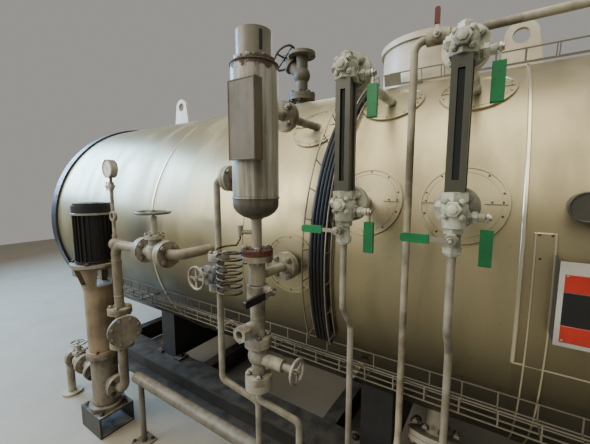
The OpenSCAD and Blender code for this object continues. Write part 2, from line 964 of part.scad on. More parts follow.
// Globe valve at the foot of the chamber, with its wheel to the right
module drain_valve_body() {
  middle = stack_z - 58;
  foot = drain_foot_z;
  color([0.72, 0.7, 0.64]) {
    rod([chamber_x, chamber_y, stack_z - 18], [chamber_x, chamber_y, stack_z], drain_flange_r);
    rod([chamber_x, chamber_y, foot], [chamber_x, chamber_y, stack_z - 8], 25);
    sphere_at([chamber_x, chamber_y, middle], 39);
    rod([chamber_x, chamber_y, foot], [chamber_x, chamber_y, foot + 27], drain_flange_r);
    rod([chamber_x, chamber_y, drain_stem_z], [drain_wheel_x - 58, chamber_y, drain_stem_z], 22);
    rod([chamber_x, chamber_y, drain_stem_z], [drain_wheel_x - 20, chamber_y, drain_stem_z], 12);
    rod([chamber_x, chamber_y, drain_stem_z], [drain_wheel_x + 11, chamber_y, drain_stem_z], 5);
  }
}

module drain_valve_wheel() {
  color([0.75, 0.73, 0.68])
    placed([drain_wheel_x, chamber_y, drain_stem_z], [1, 0, 0])
      handwheel(small_wheel_r, 5, 10.1, 12, 3);
}

module chamber_drain_pipe() {
  foot = drain_foot_z - seat;
  color([0.66, 0.63, 0.56]) {
    rod([chamber_x, chamber_y, foot - 27], [chamber_x, chamber_y, foot], drain_flange_r);
    pipe_run([[chamber_x, chamber_y, foot - 10], [chamber_x, chamber_y, foot - 79],
      [chamber_x + drain_shift, header_y, foot - 147],
      [chamber_x + drain_shift, header_y, header_z + header_r + seat]],
      sample_r, sample_r * bend_ratio);
  }
}

// Sample line: from the side of the chamber down to the header
module sample_pipe() {
  side_z = axis_z + 338;
  color([0.68, 0.66, 0.6]) {
    flange_pair([chamber_x - chamber_r - 44, chamber_y, side_z], [1, 0, 0], 47, 12);
    pipe_run([[chamber_x - chamber_r - seat, chamber_y, side_z], [sample_x, chamber_y, side_z],
      [sample_x, chamber_y, sample_top + seat]], sample_r, sample_r * 2);
    rod([sample_x, chamber_y, sample_top + seat], [sample_x, chamber_y, sample_top + 13],
      sample_flange_r);
    rod([sample_x, chamber_y, sample_foot - 13], [sample_x, chamber_y, sample_foot - seat],
      sample_flange_r);
    pipe_run([[sample_x, chamber_y, sample_foot - 6], [sample_x, chamber_y, sample_foot - 395],
      [sample_x + drain_shift, header_y, sample_foot - 473],
      [sample_x + drain_shift, header_y, header_z + header_r + seat]],
      sample_r, sample_r * bend_ratio);
  }
}

module sample_valve_body() {
  middle = (sample_top + sample_foot) / 2;
  color([0.6, 0.63, 0.66]) {
    rod([sample_x, chamber_y, sample_top - 13], [sample_x, chamber_y, sample_top],
      sample_flange_r);
    rod([sample_x, chamber_y, sample_foot], [sample_x, chamber_y, sample_foot + 13],
      sample_flange_r);
    rod([sample_x, chamber_y, sample_foot], [sample_x, chamber_y, sample_top], 21);
    sphere_at([sample_x, chamber_y, middle], 31);
    rod([sample_x, chamber_y, middle], [sample_x, sample_wheel_y + 52, middle], 21);
    disc([sample_x, chamber_y - 60, middle], [0, 1, 0], 36, 16);
    rod([sample_x, chamber_y, middle], [sample_x, sample_wheel_y + 18, middle], 11);
    rod([sample_x, chamber_y, middle], [sample_x, sample_wheel_y - 10, middle], 5);
  }
}

module sample_valve_wheel() {
  color([0.72, 0.72, 0.7])
    placed([sample_x, sample_wheel_y, (sample_top + sample_foot) / 2], [0, -1, 0])
      handwheel(small_wheel_r, 5, 10.1, 12, 4);
}

// Points of the sample coil: lead from the needle cock, turns, lead to the sample pipe
function coil_point(a) =
  [coil_x + coil_r * cos(a), coil_y + coil_r * sin(a), coil_top - coil_drop * a / 360];

// A round tube along points, as rings of sides joined by quads
module tube(points, r, sides) {
  count = len(points);
  last = count - 1;
  heading = [for (i = [0 : last])
    unit(points[min(i + 1, last)] - points[max(i - 1, 0)])];
  ring = [for (i = [0 : last])
    let (up = abs(heading[i].z) > 0.9 ? [1, 0, 0] : [0, 0, 1],
      side = unit(cross(heading[i], up)),
      over = cross(side, heading[i]))
    for (k = [0 : sides - 1])
      points[i] + r * (cos(k * 360 / sides) * side + sin(k * 360 / sides) * over)];
  wall = [for (i = [0 : last - 1])
    for (k = [0 : sides - 1])
      let (n = (k + 1) % sides)
      [i * sides + k, i * sides + n, (i + 1) * sides + n, (i + 1) * sides + k]];
  near = [for (k = [sides - 1 : -1 : 0]) k];
  far = [for (k = [0 : sides - 1]) last * sides + k];
  polyhedron(points = ring, faces = concat(wall, [near], [far]), convexity = 10);
}

module sample_coil() {
  step = 24;
  land_z = sample_foot - 32;
  turns = [for (a = [96 : step : coil_turns * 360 + 90]) coil_point(a)];
  lead_in = [[cock_tip.x, cock_tip.y, cock_tip.z - seat], [cock_tip.x, cock_tip.y, cock_tip.z - 12],
    [cock_tip.x - 2, cock_tip.y - 10, cock_tip.z - 26]];
  lead_out = [[sample_x + 92, chamber_y - 56, land_z + 50], [sample_x + 55, chamber_y - 46, land_z + 26],
    [sample_x + 30, chamber_y - 15, land_z + 4], [sample_x + 24, chamber_y - 1, land_z],
    [sample_x + sample_r + seat, chamber_y, land_z]];
  color([0.3, 0.29, 0.27])
    tube(concat(lead_in, turns, lead_out), coil_tube_r, 6);
}

// Header that gathers the drains along the front, on two posts
module drain_header() {
  left = sample_x - 760;
  right = gauge_right_x + 45;
  color([0.74, 0.72, 0.67]) {
    rod([left, header_y, header_z], [right, header_y, header_z], header_r);
    for (x = [left + 40, right - 140]) {
      rod([x, header_y, 5], [x, header_y, header_z], header_r / 2);
      translate([x - 50, header_y - 50, 0])
        cube([100, 100, 8]);
    }
  }
}

module vent_pipe() {
  right = shell_len / 2 - 250;
  valve_x = vent_x + 62;
  color([0.55, 0.5, 0.44]) {
    off_jacket()
      pipe_run([[vent_x, header_y, header_z + header_r + seat], [vent_x, header_y, header_z + 120],
        [vent_x, vent_y, header_z + 260], [vent_x, vent_y, vent_z], [right, vent_y, vent_z],
        [right, front_y / 4, vent_z]], drain_r, drain_r * bend_ratio);
    rod([valve_x - 30, vent_y, vent_z], [valve_x + 30, vent_y, vent_z], 19);
    rod([valve_x, vent_y, vent_z], [valve_x, vent_y - 25, vent_z], 9);
    rod([valve_x, vent_y, vent_z], [valve_x, vent_y - 38, vent_z], 4);
  }
}

module vent_lever() {
  color([0.35, 0.06, 0.06])
    translate([vent_x + 62, vent_y - 32, vent_z])
      rotate([90, 0, 0])
        rotate([0, 0, 90])
          lever(9, 4.05, 9, 4, 22, 42, 13, 8);
}

// Feed pump
module pump_plinth() {
  half = 115;
  depth = 200;
  wall = 10;
  color([0.12, 0.12, 0.12])
    translate([pump_x - half, pump_y - depth / 2, 0]) {
      cube([2 * half, depth, wall]);
      translate([0, 0, plinth_h - wall])
        cube([2 * half, depth, wall]);
      for (wall_y = [0, depth - wall])
        translate([0, wall_y, 0])
          cube([2 * half, wall, plinth_h]);
    }
}

module pump_foot() {
  base = plinth_h + seat;
  port = port_off - seat;
  color([0.55, 0.52, 0.46])
    translate([pump_x, pump_y, 0]) {
      translate([0, 0, base])
        cylinder(r = foot_r + 12, h = 22);
      translate([0, 0, base])
        cylinder(r = foot_r - 12, h = column_z - base);
      translate([0, 0, column_z - 24])
        cylinder(r = foot_r + 6, h = 24);
      rod([-port, 0, port_z], [port, 0, port_z], feed_r + 6);
      for (side = [-1, 1])
        disc([side * (port - 8), 0, port_z], [1, 0, 0], feed_flange_r, 16);
    }
}

module pump_column() {
  base = column_z + seat;
  cone_z = motor_z - 165;
  top = motor_z - seat;
  color([0.42, 0.31, 0.2])
    translate([pump_x, pump_y, 0])
      difference() {
        rotate_extrude()
          polygon([[0, base], [column_r + 12, base], [column_r + 12, base + 18],
            [column_r, base + 18], [column_r, cone_z], [motor_r + 14, top - 16],
            [motor_r + 28, top - 16], [motor_r + 28, top], [0, top]]);
        for (a = [0, 90])
          rotate([0, 0, a])
            translate([-column_r * 0.55, -motor_r - 40, cone_z + 30])
              cube([column_r * 1.1, 2 * motor_r + 80, top - 16 - cone_z - 45]);
      }
}

module pump_motor() {
  lid_h = 66;
  fins = 24;
  color([0.06, 0.06, 0.07])
    translate([pump_x, pump_y, motor_z]) {
      cylinder(r = motor_r, h = 14);
      cylinder(r = motor_r - 12, h = motor_h - lid_h + 2);
      translate([0, 0, motor_h - lid_h])
        cylinder(r = motor_r, h = lid_h - 12);
      translate([0, 0, motor_h - 14])
        cylinder(r = motor_r - 9, h = 14);
      for (i = [0 : fins - 1])
        rotate([0, 0, (i + 0.5) * 360 / fins])
          translate([motor_r - 20, -1.5, 10])
            cube([17, 3, motor_h - lid_h - 6]);
      translate([-motor_r - 34, -40, 16])
        cube([60, 80, 92]);
    }
}

// Feed line: from the pump up past the gauge and along to the shell
module feed_line() {
  from_x = pump_x + port_off;
  half = feed_valve_len / 2 + seat;
  check_z = 690;
  facing = [0.966, -0.259, 0];
  lid_r = 84;
  color([0.66, 0.63, 0.55]) {
    disc([from_x + 8, feed_y, port_z], [1, 0, 0], feed_flange_r, 16);
    pipe_run([[from_x, feed_y, port_z], [delivery_x, feed_y, port_z],
      [delivery_x, feed_y, feed_z], [feed_valve_x - half, feed_y, feed_z]],
      feed_r, feed_r * bend_ratio);
    disc([feed_valve_x - half - 9, feed_y, feed_z], [1, 0, 0], feed_flange_r, 18);
    disc([feed_valve_x + half + 9, feed_y, feed_z], [1, 0, 0], feed_flange_r, 18);
    off_jacket()
      pipe_run([[feed_valve_x + half, feed_y, feed_z], [feed_in_x, feed_y, feed_z],
        [feed_in_x, front_y + 100, feed_z]], feed_r, feed_r * bend_ratio);
    rod([delivery_x, feed_y, feed_z - feed_r], [delivery_x, feed_y, boss_z - seat], 13);
    sphere_at([delivery_x, feed_y, check_z], 52);
    rod([delivery_x, feed_y, check_z], [delivery_x, feed_y, check_z] + facing * 78, 46);
    disc([delivery_x, feed_y, check_z] + facing * 80, facing, lid_r, 20);
    sphere_at([delivery_x, feed_y, feed_z], feed_r + 9);
    for (z = [check_z - 96, check_z + 96])
      flange_pair([delivery_x, feed_y, z], [0, 0, 1], feed_flange_r, 15);
  }
}

module feed_valve_body() {
  half = feed_valve_len / 2;
  color([0.6, 0.58, 0.52])
    translate([feed_valve_x, feed_y, feed_z]) {
      rod([-half, 0, 0], [half, 0, 0], feed_r + 6);
      for (side = [-1, 1])
        disc([side * (half - 9), 0, 0], [1, 0, 0], feed_flange_r, 18);
      sphere(r = 46);
      cylinder(r = 30, h = 74);
      translate([0, 0, 66])
        cylinder(r = 46, h = 18);
      cylinder(r = 15, h = feed_stem - 18);
      cylinder(r = 7, h = feed_stem + 14);
    }
}

module feed_valve_wheel() {
  color([0.5, 0.48, 0.42])
    translate([feed_valve_x, feed_y, feed_z + feed_stem])
      handwheel(feed_wheel_r, 7, 14.1, 16, 4);
}

// Pressure gauge on its siphon ring and cock
module pressure_gauge() {
  ring_z = boss_z + 98;
  dial_z = cock_z + 92;
  dial_r = 48;
  color([0.6, 0.58, 0.52])
    translate([delivery_x, feed_y, 0]) {
      rod([0, 0, boss_z], [0, 0, ring_z - 22], 9);
      rod([0, 0, ring_z + 22], [0, 0, cock_z], 9);
      translate([0, 0, ring_z])
        rotate([90, 0, 0])
          rotate_extrude()
            translate([24, 0])
              circle(r = 8, $fn = 24);
      rod([0, 0, cock_z - 22], [0, 0, cock_z + 22], 14);
      rod([0, 0, cock_z], [0, 0, dial_z - 30], 8);
      rod([18, 0, cock_z], [-34, 0, cock_z], 12);
      rod([0, 0, cock_z], [-handle_off - 6, 0, cock_z], 4);
      difference() {
        rod([0, 18, dial_z], [0, -18, dial_z], dial_r);
        rod([0, -14, dial_z], [0, -20, dial_z], dial_r - 5);
      }
    }
}

module gauge_cock_handle() {
  color([0.5, 0.48, 0.42])
    translate([delivery_x - handle_off, feed_y, cock_z])
      rotate([0, 90, 0])
        difference() {
          union() {
            translate([0, 0, -4])
              cylinder(r = 9, h = 8);
            rod([-24, 0, 0], [24, 0, 0], 3.5);
          }
          translate([0, 0, -5])
            cylinder(r = 4.05, h = 10);
        }
}

// Suction line: valve, elbow and foot on the pump's left
module suction_line() {
  from_x = pump_x - port_off;
  valve_x = suction_x;
  drop_x = valve_x - 170;
  color([0.58, 0.5, 0.4]) {
    disc([from_x - 8, pump_y, port_z], [1, 0, 0], feed_flange_r, 16);
    pipe_run([[from_x, pump_y, port_z], [drop_x, pump_y, port_z], [drop_x, pump_y, 4]],
      feed_r, feed_r * bend_ratio);
    for (x = [valve_x - 70, valve_x + 70])
      flange_pair([x, pump_y, port_z], [1, 0, 0], feed_flange_r, 14);
    sphere_at([valve_x, pump_y, port_z], 44);
    rod([valve_x, pump_y, port_z], [valve_x, pump_y, port_z + 72], 26);
    disc([valve_x, pump_y, port_z + 62], [0, 0, 1], 42, 16);
    rod([valve_x, pump_y, port_z], [valve_x, pump_y, port_z + suction_stem - 16], 13);
    rod([valve_x, pump_y, port_z], [valve_x, pump_y, port_z + suction_stem + 12], 6);
    translate([drop_x, pump_y, 0])
      cylinder(r = feed_flange_r, h = 16);
  }
}

module suction_wheel() {
  color([0.5, 0.48, 0.42])
    translate([suction_x, pump_y, port_z + suction_stem])
      handwheel(52, 5.5, 12.1, 14, 4);
}

// Number of whole cells along a lattice, and the place of its first cross wire
function lattice_cells(length) = floor((length - wire) / wire_pitch);
function first_wire(length) = (length - lattice_cells(length) * wire_pitch) / 2;

// Flat lattice of wires in the plane of X and Y, with its corner at the origin
module lattice(length, width, across) {
  cells = lattice_cells(length);
  margin = first_wire(length);
  row = (width - wire) / across;
  linear_extrude(height = wire)
    difference() {
      square([length, width]);
      for (i = [0 : cells - 1])
        for (k = [0 : across - 1])
          translate([margin + i * wire_pitch + wire / 2, k * row + wire])
            square([wire_pitch - wire, row - wire]);
    }
}

// A straight tray along +X, with its floor on the plane z = 0 and centred on y = 0
module tray(length) {
  translate([0, -tray_w / 2, 0])
    lattice(length, tray_w, tray_cells);
  for (side = [0, 1])
    translate([0, -tray_w / 2 + wire + side * (tray_w - wire), 0])
      rotate([90, 0, 0])
        lattice(length, tray_h, 1);
}

// Arm under a tray that reaches back to the jacket
module tray_arm(y0, z) {
  arm = 24;
  off_jacket()
    translate([-arm / 2, y0, z])
      cube([arm, shell_r / 3, 6]);
}

module bottom_tray() {
  left = 350 - shell_len / 2;
  length = shell_len - 500;
  y = front_y - tray_gap;
  base = axis_z - tray_low;
  color([0.62, 0.6, 0.55]) {
    translate([left, y, base])
      tray(length);
    for (x = [left + 200 : 700 : left + length - 200])
      translate([x, 0, 0])
        tray_arm(y - tray_w / 2, base - 6);
  }
}

module top_tray() {
  left = riser_x + tray_w / 2 + 20;
  length = shell_len / 2 - left - 135;
  foot_at = first_wire(length) + wire_pitch;
  color([0.62, 0.6, 0.55])
    translate([0, 0, axis_z])
      rotate([top_lean, 0, 0]) {
        translate([left, 0, shell_r + tray_rise])
          tray(length);
        for (x = [left + foot_at, left + length - foot_at])
          translate([x - 12, -9, shell_r + seat])
            cube([24, 18, tray_rise - seat + wire / 2]);
      }
}

// Curved tray that follows the jacket from the bottom tray to the top tray
module riser_tray() {
  inner = shell_r + tray_rise;
  low = -20;
  high = 87 - top_lean;
  bars = 12;
  feet = 4;
  row = (tray_w - wire) / tray_cells;
  pitch = (high - low - 2) / (bars - 1);
  color([0.62, 0.6, 0.55])
    round_shell(riser_x) {
      for (k = [0 : tray_cells])
        arc_wire(inner, -tray_w / 2 + k * row, low, high);
      for (k = [0, tray_cells])
        arc_wire(inner + tray_h - wire, -tray_w / 2 + k * row, low, high);
      for (i = [0 : bars - 1])
        cross_bar(inner, low + 1 + i * pitch);
      for (i = [0 : feet - 1])
        rotate([0, 0, low + 8 + i * (high - low - 16) / (feet - 1)])
          translate([shell_r + seat, -9, -tray_w / 2 + 1])
            cube([tray_rise - seat + wire / 2, 18, tray_w - 2]);
    }
}

// Puts a piece drawn round +Z on the jacket's front: its +X points to the front, its +Y up
module round_shell(x) {
  multmatrix([[0, 0, -1, x], [-1, 0, 0, 0], [0, 1, 0, axis_z], [0, 0, 0, 1]])
    children();
}

module arc_wire(r, along, low, high) {
  rotate([0, 0, low])
    rotate_extrude(angle = high - low, $fn = shell_fn)
      translate([r, along])
        square([wire, wire]);
}

// A wire across the curved tray; it is a little thinner than the long wires that it crosses
module cross_bar(inner, a) {
  thin = 0.4;
  t = wire - 2 * thin;
  rotate([0, 0, a]) {
    translate([inner + thin, -wire / 2, -tray_w / 2 + thin])
      cube([t, wire, tray_w - 2 * thin]);
    for (z = [-tray_w / 2 + thin, tray_w / 2 - wire + thin])
      translate([inner + 2 * thin, -wire / 2 + thin, z])
        cube([tray_h - 4 * thin, t, t]);
  }
}

// Cables held in the riser tray
module cable_bundle() {
  spread = 2 * cable_r + 1.5;
  low = -22;
  high = 88 - top_lean;
  color([0.03, 0.03, 0.03])
    round_shell(riser_x)
      for (i = [0 : cables - 1])
        translate([0, 0, (i - (cables - 1) / 2) * spread])
          rotate([0, 0, low])
            rotate_extrude(angle = high - low, $fn = shell_fn)
              translate([shell_r + tray_rise + wire + cable_r + seat, 0])
                circle(r = cable_r, $fn = 24);
}

jacket();
left_end();
right_end();
front_beam();
rear_beam();
cross_members();
saddles();
lifting_lugs();
manway();
nozzle_covers();
hand_hole();
name_plate();
blowdown_flange();
steam_valve_body();
steam_valve_wheel();
gauge_left_body();
gauge_right_body();
gauge_left_cocks();
gauge_right_cocks();
lever_left_top();
lever_left_bottom();
lever_left_drain();
lever_right_top();
lever_right_bottom();
lever_right_drain();
gauge_drain_pipes();
level_chamber();
chamber_cap();
sign_plate();
chamber_branches();
ball_valve_body();
ball_valve_lever();
drain_valve_body();
drain_valve_wheel();
chamber_drain_pipe();
sample_pipe();
sample_valve_body();
sample_valve_wheel();
sample_coil();
drain_header();
vent_pipe();
vent_lever();
pump_plinth();
pump_foot();
pump_column();
pump_motor();
feed_line();
feed_valve_body();
feed_valve_wheel();
pressure_gauge();
gauge_cock_handle();
suction_line();
suction_wheel();
bottom_tray();
top_tray();
riser_tray();
cable_bundle();
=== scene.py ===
"""Looks of a horizontal steam boiler on its skid: finishes, fasteners, seams, glass and light.

Metres. +X runs along the shell to the right, -Y is the front, +Z is up, and the floor is z = 0.
"""

import json
import math

import bpy
import numpy as np
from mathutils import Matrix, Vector


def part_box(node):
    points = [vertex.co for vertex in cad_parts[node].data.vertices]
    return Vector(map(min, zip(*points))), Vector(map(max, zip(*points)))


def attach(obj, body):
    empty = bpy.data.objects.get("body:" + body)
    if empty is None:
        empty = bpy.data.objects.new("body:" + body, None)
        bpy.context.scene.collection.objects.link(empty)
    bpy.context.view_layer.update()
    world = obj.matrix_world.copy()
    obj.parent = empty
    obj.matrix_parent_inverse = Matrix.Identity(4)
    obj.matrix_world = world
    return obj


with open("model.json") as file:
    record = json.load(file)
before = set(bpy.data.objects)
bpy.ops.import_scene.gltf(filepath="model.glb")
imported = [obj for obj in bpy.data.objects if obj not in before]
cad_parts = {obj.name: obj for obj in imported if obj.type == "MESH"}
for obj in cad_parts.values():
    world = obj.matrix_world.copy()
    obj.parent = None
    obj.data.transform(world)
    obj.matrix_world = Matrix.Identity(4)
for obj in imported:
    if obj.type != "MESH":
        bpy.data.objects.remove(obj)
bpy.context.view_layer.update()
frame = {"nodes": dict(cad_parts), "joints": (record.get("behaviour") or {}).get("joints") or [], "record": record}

bl_info = {
    "name": "Horizontal steam boiler",
    "version": (1, 0, 0),
    "blender": (4, 5, 0),
    "location": "View3D > Sidebar > Boiler",
    "description": "Dresses the boiler's solids with finishes, fasteners, seams and glass",
    "category": "Object",
}

PLANT = "plant"
X_AXIS, Y_AXIS, Z_AXIS = np.eye(3)


def box_of(node):
    """Lowest and highest corner of a solid, as arrays."""
    low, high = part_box(node)
    return np.array(low), np.array(high)


def middle_of(node):
    """Middle of a solid's box."""
    low, high = box_of(node)
    return (low + high) / 2


def front_of(node):
    """Middle of the front side of a solid's box."""
    x, _, z = middle_of(node)
    return np.array([x, box_of(node)[0][1], z])


# The shell, its end rings and the saddles' place
SHELL_LOW, SHELL_HIGH = box_of("jacket")
SHELL_HALF, TOP_Z = SHELL_HIGH[0], SHELL_HIGH[2]
SHELL_R = (TOP_Z - SHELL_LOW[2]) / 2
AXIS_Z = (TOP_Z + SHELL_LOW[2]) / 2
RING_R = SHELL_R + 0.015
RING_DEPTH = 0.046
RING_SCREWS = 36
RING_SCREW = 0.006
RING_SCREW_IN = 0.022
SADDLE_X = 0.795

# Seams of the cladding: the place along X and the shares of the band's width and height
LEFT_SEAM_X = -0.500
MIDDLE_SEAM_X = 0.225
SEAMS = ((-1.250, 0.5, 0.35), (LEFT_SEAM_X, 0.9, 1.3), (MIDDLE_SEAM_X, 0.7, 0.7))

# The bead on the edge of the right sheet, and the lap at its foot
BEAD_X = 1.2755
BEAD_FOOT = -0.25
BEAD_WIDTH = 0.012
BEAD_LIFT = 0.006
LAP_R = 0.003
LAP_LIFT = 0.0005

# The strip behind the name plate: its sides along X, its top, its lowest angle, its lift, the
# width and lift of its edges, and its screws
STRIP_X = (1.3030, 1.3475)
STRIP_TOP_Z = 1.350
STRIP_FOOT = -1.25
STRIP_LIFT = 0.003
STRIP_EDGE = (0.006, 0.005)
STRIP_STEPS = 90
STRIP_SCREW = 0.0035
STRIP_SCREWS_ACROSS = (-0.014, -0.010, 0.014)
STRIP_SCREWS_DOWN = (0.008, 0.085, 0.008)

# The level gauges
GAUGES = ("left", "right")
GAUGE_X = [middle_of(f"gauge_{side}_body")[0] for side in GAUGES]
GAUGE_LOW, GAUGE_HIGH = box_of("gauge_left_body")
GAUGE_Y = middle_of("gauge_left_body")[1]
LOW_Z = AXIS_Z + 0.255
HIGH_Z = LOW_Z + 0.400
COCK_FLANGE_Y = GAUGE_Y + 0.052
LEVER_OFF = 0.074

# The level chamber and what hangs under it
CHAMBER_X, CHAMBER_Y = middle_of("chamber_cap")[:2]
CHAMBER_R = 0.080
CAP_LOW, CAP_HIGH = box_of("chamber_cap")
CAP_FLANGE_R = 0.072
CAP_R = 0.060
CHAMBER_LOW_Z = AXIS_Z + 0.272
CHAMBER_TOP_Z = CAP_LOW[2]
BRANCH_HIGH_Z = AXIS_Z + 0.575
BRANCH_LOW_Z = AXIS_Z - 0.014
PAIR_Z = AXIS_Z + 0.068
NECK_TOP_Z = CHAMBER_LOW_Z - 0.076
DRAIN_LOW, DRAIN_HIGH = box_of("drain_valve_body")
SAMPLE_X = middle_of("sample_valve_wheel")[0]
SAMPLE_LOW, SAMPLE_HIGH = box_of("sample_valve_body")

# The steam valve
STEAM_X = 0.030
STEAM_BASE_Z = TOP_Z + 0.070
STEAM_MIDDLE_Z = STEAM_BASE_Z + 0.145
STEAM_BONNET_OFF = 0.120
MANWAY_SCREWS = 20
MANWAY_SCREWS_IN = 0.018
MANWAY_SCREW = 0.005

# The feed pump and its lines
PUMP_X, PUMP_Y = middle_of("pump_column")[:2]
MOTOR_LOW, MOTOR_HIGH = box_of("pump_motor")
PORT_Z = 0.300
PORT_OFF = 0.140
DELIVERY_X = middle_of("pressure_gauge")[0] + 0.002
FEED_Z = AXIS_Z - 0.005
FEED_VALVE_X = middle_of("feed_valve_wheel")[0]
CHECK_Z = 0.690
DIAL_Z = FEED_Z + 0.052 + 0.260 + 0.092
SUCTION_X = middle_of("suction_wheel")[0]


# Flange pairs: the radius, half the pair, the thread's radius and, where not four, the bolts
STEAM_FLANGE = (0.0925, 0.0221, 0.0075, 8)
BLOWDOWN_FLANGE = (0.118, 0.0335, 0.010, 8)
COCK_FLANGE = (0.056, 0.0161, 0.006)
BRANCH_FLANGE = (0.0575, 0.0161, 0.0065)
FOOT_FLANGE = (0.0575, 0.0203, 0.007)
DRAIN_TOP_FLANGE = (0.050, 0.0181, 0.0058)
DRAIN_FOOT_FLANGE = (0.050, 0.0272, 0.0058)
SIDE_FLANGE = (0.047, 0.0131, 0.0055)
SAMPLE_FLANGE = (0.0415, 0.0131, 0.005)
PORT_FLANGE = (0.062, 0.0163, 0.0068)
FEED_FLANGE = (0.062, 0.0184, 0.0072)
SUCTION_FLANGE = (0.062, 0.0151, 0.0070)
CHECK_FLANGE = (0.062, 0.0161, 0.0070)

# Bolt circles: the radius, the number of bolts and the thread's radius
STEAM_BONNET = (0.0465, 6, 0.005)
SAMPLE_BONNET = (0.029, 4, 0.0038)
CAP_BOLTS = ((CAP_R + CAP_FLANGE_R) / 2, 8, 0.0027)
MOTOR_BOLTS = (0.118, 4, 0.0075)
LANTERN_BOLTS = (0.082, 4, 0.005)
CHECK_COVER = (0.070, 8, 0.0055)
FEED_BONNET = (0.037, 6, 0.005)
SUCTION_COVER = (0.033, 4, 0.0045)
COCK_FACE_NUTS = (0.0265, 4, 0.0085)


def colour(red, green, blue):
    """Linear colour of three numbers as a screen shows them, from 0 to 255."""
    screen = np.array([red, green, blue]) / 255
    linear = np.where(screen > 0.04045, ((screen + 0.055) / 1.055) ** 2.4, screen / 12.92)
    return (*linear.tolist(), 1.0)


def linked(name, data):
    """A new object with its data, in the scene."""
    made = bpy.data.objects.new(name, data)
    bpy.context.scene.collection.objects.link(made)
    return made


NO_TRIS = np.empty((0, 3), int)
CREASE_ANGLE = 35.0


class Surface:
    """Points and faces of one piece, collected from grids and stamped shapes."""

    def __init__(self, name, finish, slot=None, body=PLANT):
        self.name, self.finish, self.slot, self.body = name, finish, slot or finish, body
        self.points, self.faces = [], []
        self.count = 0

    def put(self, points, quads, tris=NO_TRIS):
        """Adds points with the quads and triangles that index them."""
        points = np.asarray(points, float).reshape(-1, 3)
        self.faces += [np.asarray(group) + self.count for group in (quads, tris)]
        self.points.append(points)
        self.count += len(points)

    def stamp(self, shape, places, directions, size=1.0, spin=0.0):
        """Copies a shape drawn round +Z to places, turned to directions and scaled by size."""
        points, quads, tris = shape
        places = np.atleast_2d(places)
        turns = frames_of(np.broadcast_to(directions, places.shape), spin)
        moved = np.einsum("kij,nj->kni", turns, points) * size + places[:, None, :]
        steps = np.arange(len(places))[:, None, None] * len(points)
        self.put(moved, (quads + steps).reshape(-1, 4), (tris + steps).reshape(-1, 3))

    def make(self):
        """Makes the collected surface one object that rides on its body."""
        mesh = bpy.data.meshes.new(self.name)
        faces = [face for group in self.faces for face in group.tolist()]
        mesh.from_pydata(np.vstack(self.points).tolist(), [], faces)
        mesh.validate()
        mesh.shade_smooth()
        mesh.set_sharp_from_angle(angle=math.radians(CREASE_ANGLE))
        mesh.materials.append(MATERIALS[self.finish])
        piece = linked(self.name, mesh)
        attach(piece, self.body)


def finished(*surfaces):
    """Makes the pieces of an operator, and gives what it returns."""
    for surface in surfaces:
        surface.make()
    return {"FINISHED"}


def frames_of(directions, spin=0.0):
    """Turning matrices whose third column is each direction, the first two square to it."""
    third = directions / np.linalg.norm(directions, axis=1, keepdims=True)
    helper = np.where(np.abs(third[:, 2:3]) > 0.9, X_AXIS[None], Z_AXIS[None])
    first = np.cross(helper, third)
    first /= np.linalg.norm(first, axis=1, keepdims=True)
    second = np.cross(third, first)
    cos, sin = math.cos(spin), math.sin(spin)
    return np.stack([first * cos + second * sin, second * cos - first * sin, third], axis=2)


def angles(count, phase=0.0):
    """Even steps of one turn; phase is a share of a step."""
    return (np.arange(count) + phase) * 2 * np.pi / count


def unit_circle(count, phase=0.0):
    """Points of a circle of radius 1 as rows of cosine and sine."""
    turn = angles(count, phase)
    return np.stack([np.cos(turn), np.sin(turn)], axis=1)


def circle_places(centre, axis, radius, count):
    """Places round a circle square to an axis, from half a pitch on."""
    turn = frames_of(np.atleast_2d(axis))[0]
    return centre + radius * unit_circle(count, 0.5) @ turn[:, :2].T


def lattice(xs, ys, zs):
    """All places whose coordinates are one of xs, one of ys and one of zs."""
    return np.stack(np.meshgrid(xs, ys, zs, indexing="ij"), axis=-1).reshape(-1, 3)


def grid_quads(rows, columns, wrap_rows=False, wrap_columns=False):
    """Quads that join a grid of rows by columns points, with the last row or column joined on."""
    r = np.arange(rows if wrap_rows else rows - 1)
    c = np.arange(columns if wrap_columns else columns - 1)
    r, c = np.meshgrid(r, c, indexing="ij")
    r2, c2 = (r + 1) % rows, (c + 1) % columns
    quads = [r * columns + c, r * columns + c2, r2 * columns + c2, r2 * columns + c]
    return np.stack(quads, axis=-1).reshape(-1, 4)


def turned(profile, sides, closed=False):
    """A profile of (radius, height) turned about +Z: a circle's points times each radius.

    An open profile gets a pole at each end, and a closed one leaves its middle open.
    """
    profile = np.asarray(profile, float)
    rows = len(profile)
    ring = profile[:, None, :1] * unit_circle(sides)
    height = np.broadcast_to(profile[:, None, 1:], (rows, sides, 1))
    points = np.concatenate([ring, height], axis=-1).reshape(-1, 3)
    quads = grid_quads(rows, sides, wrap_rows=closed, wrap_columns=True)
    if closed:
        return points, quads, NO_TRIS
    poles = [[0, 0, profile[0, 1]], [0, 0, profile[-1, 1]]]
    here = np.arange(sides)
    after = (here + 1) % sides
    last_row = (rows - 1) * sides
    low = np.stack([np.full(sides, rows * sides), after, here], axis=1)
    high = np.stack([np.full(sides, rows * sides + 1), last_row + here, last_row + after], axis=1)
    return np.vstack([points, poles]), quads, np.vstack([low, high])


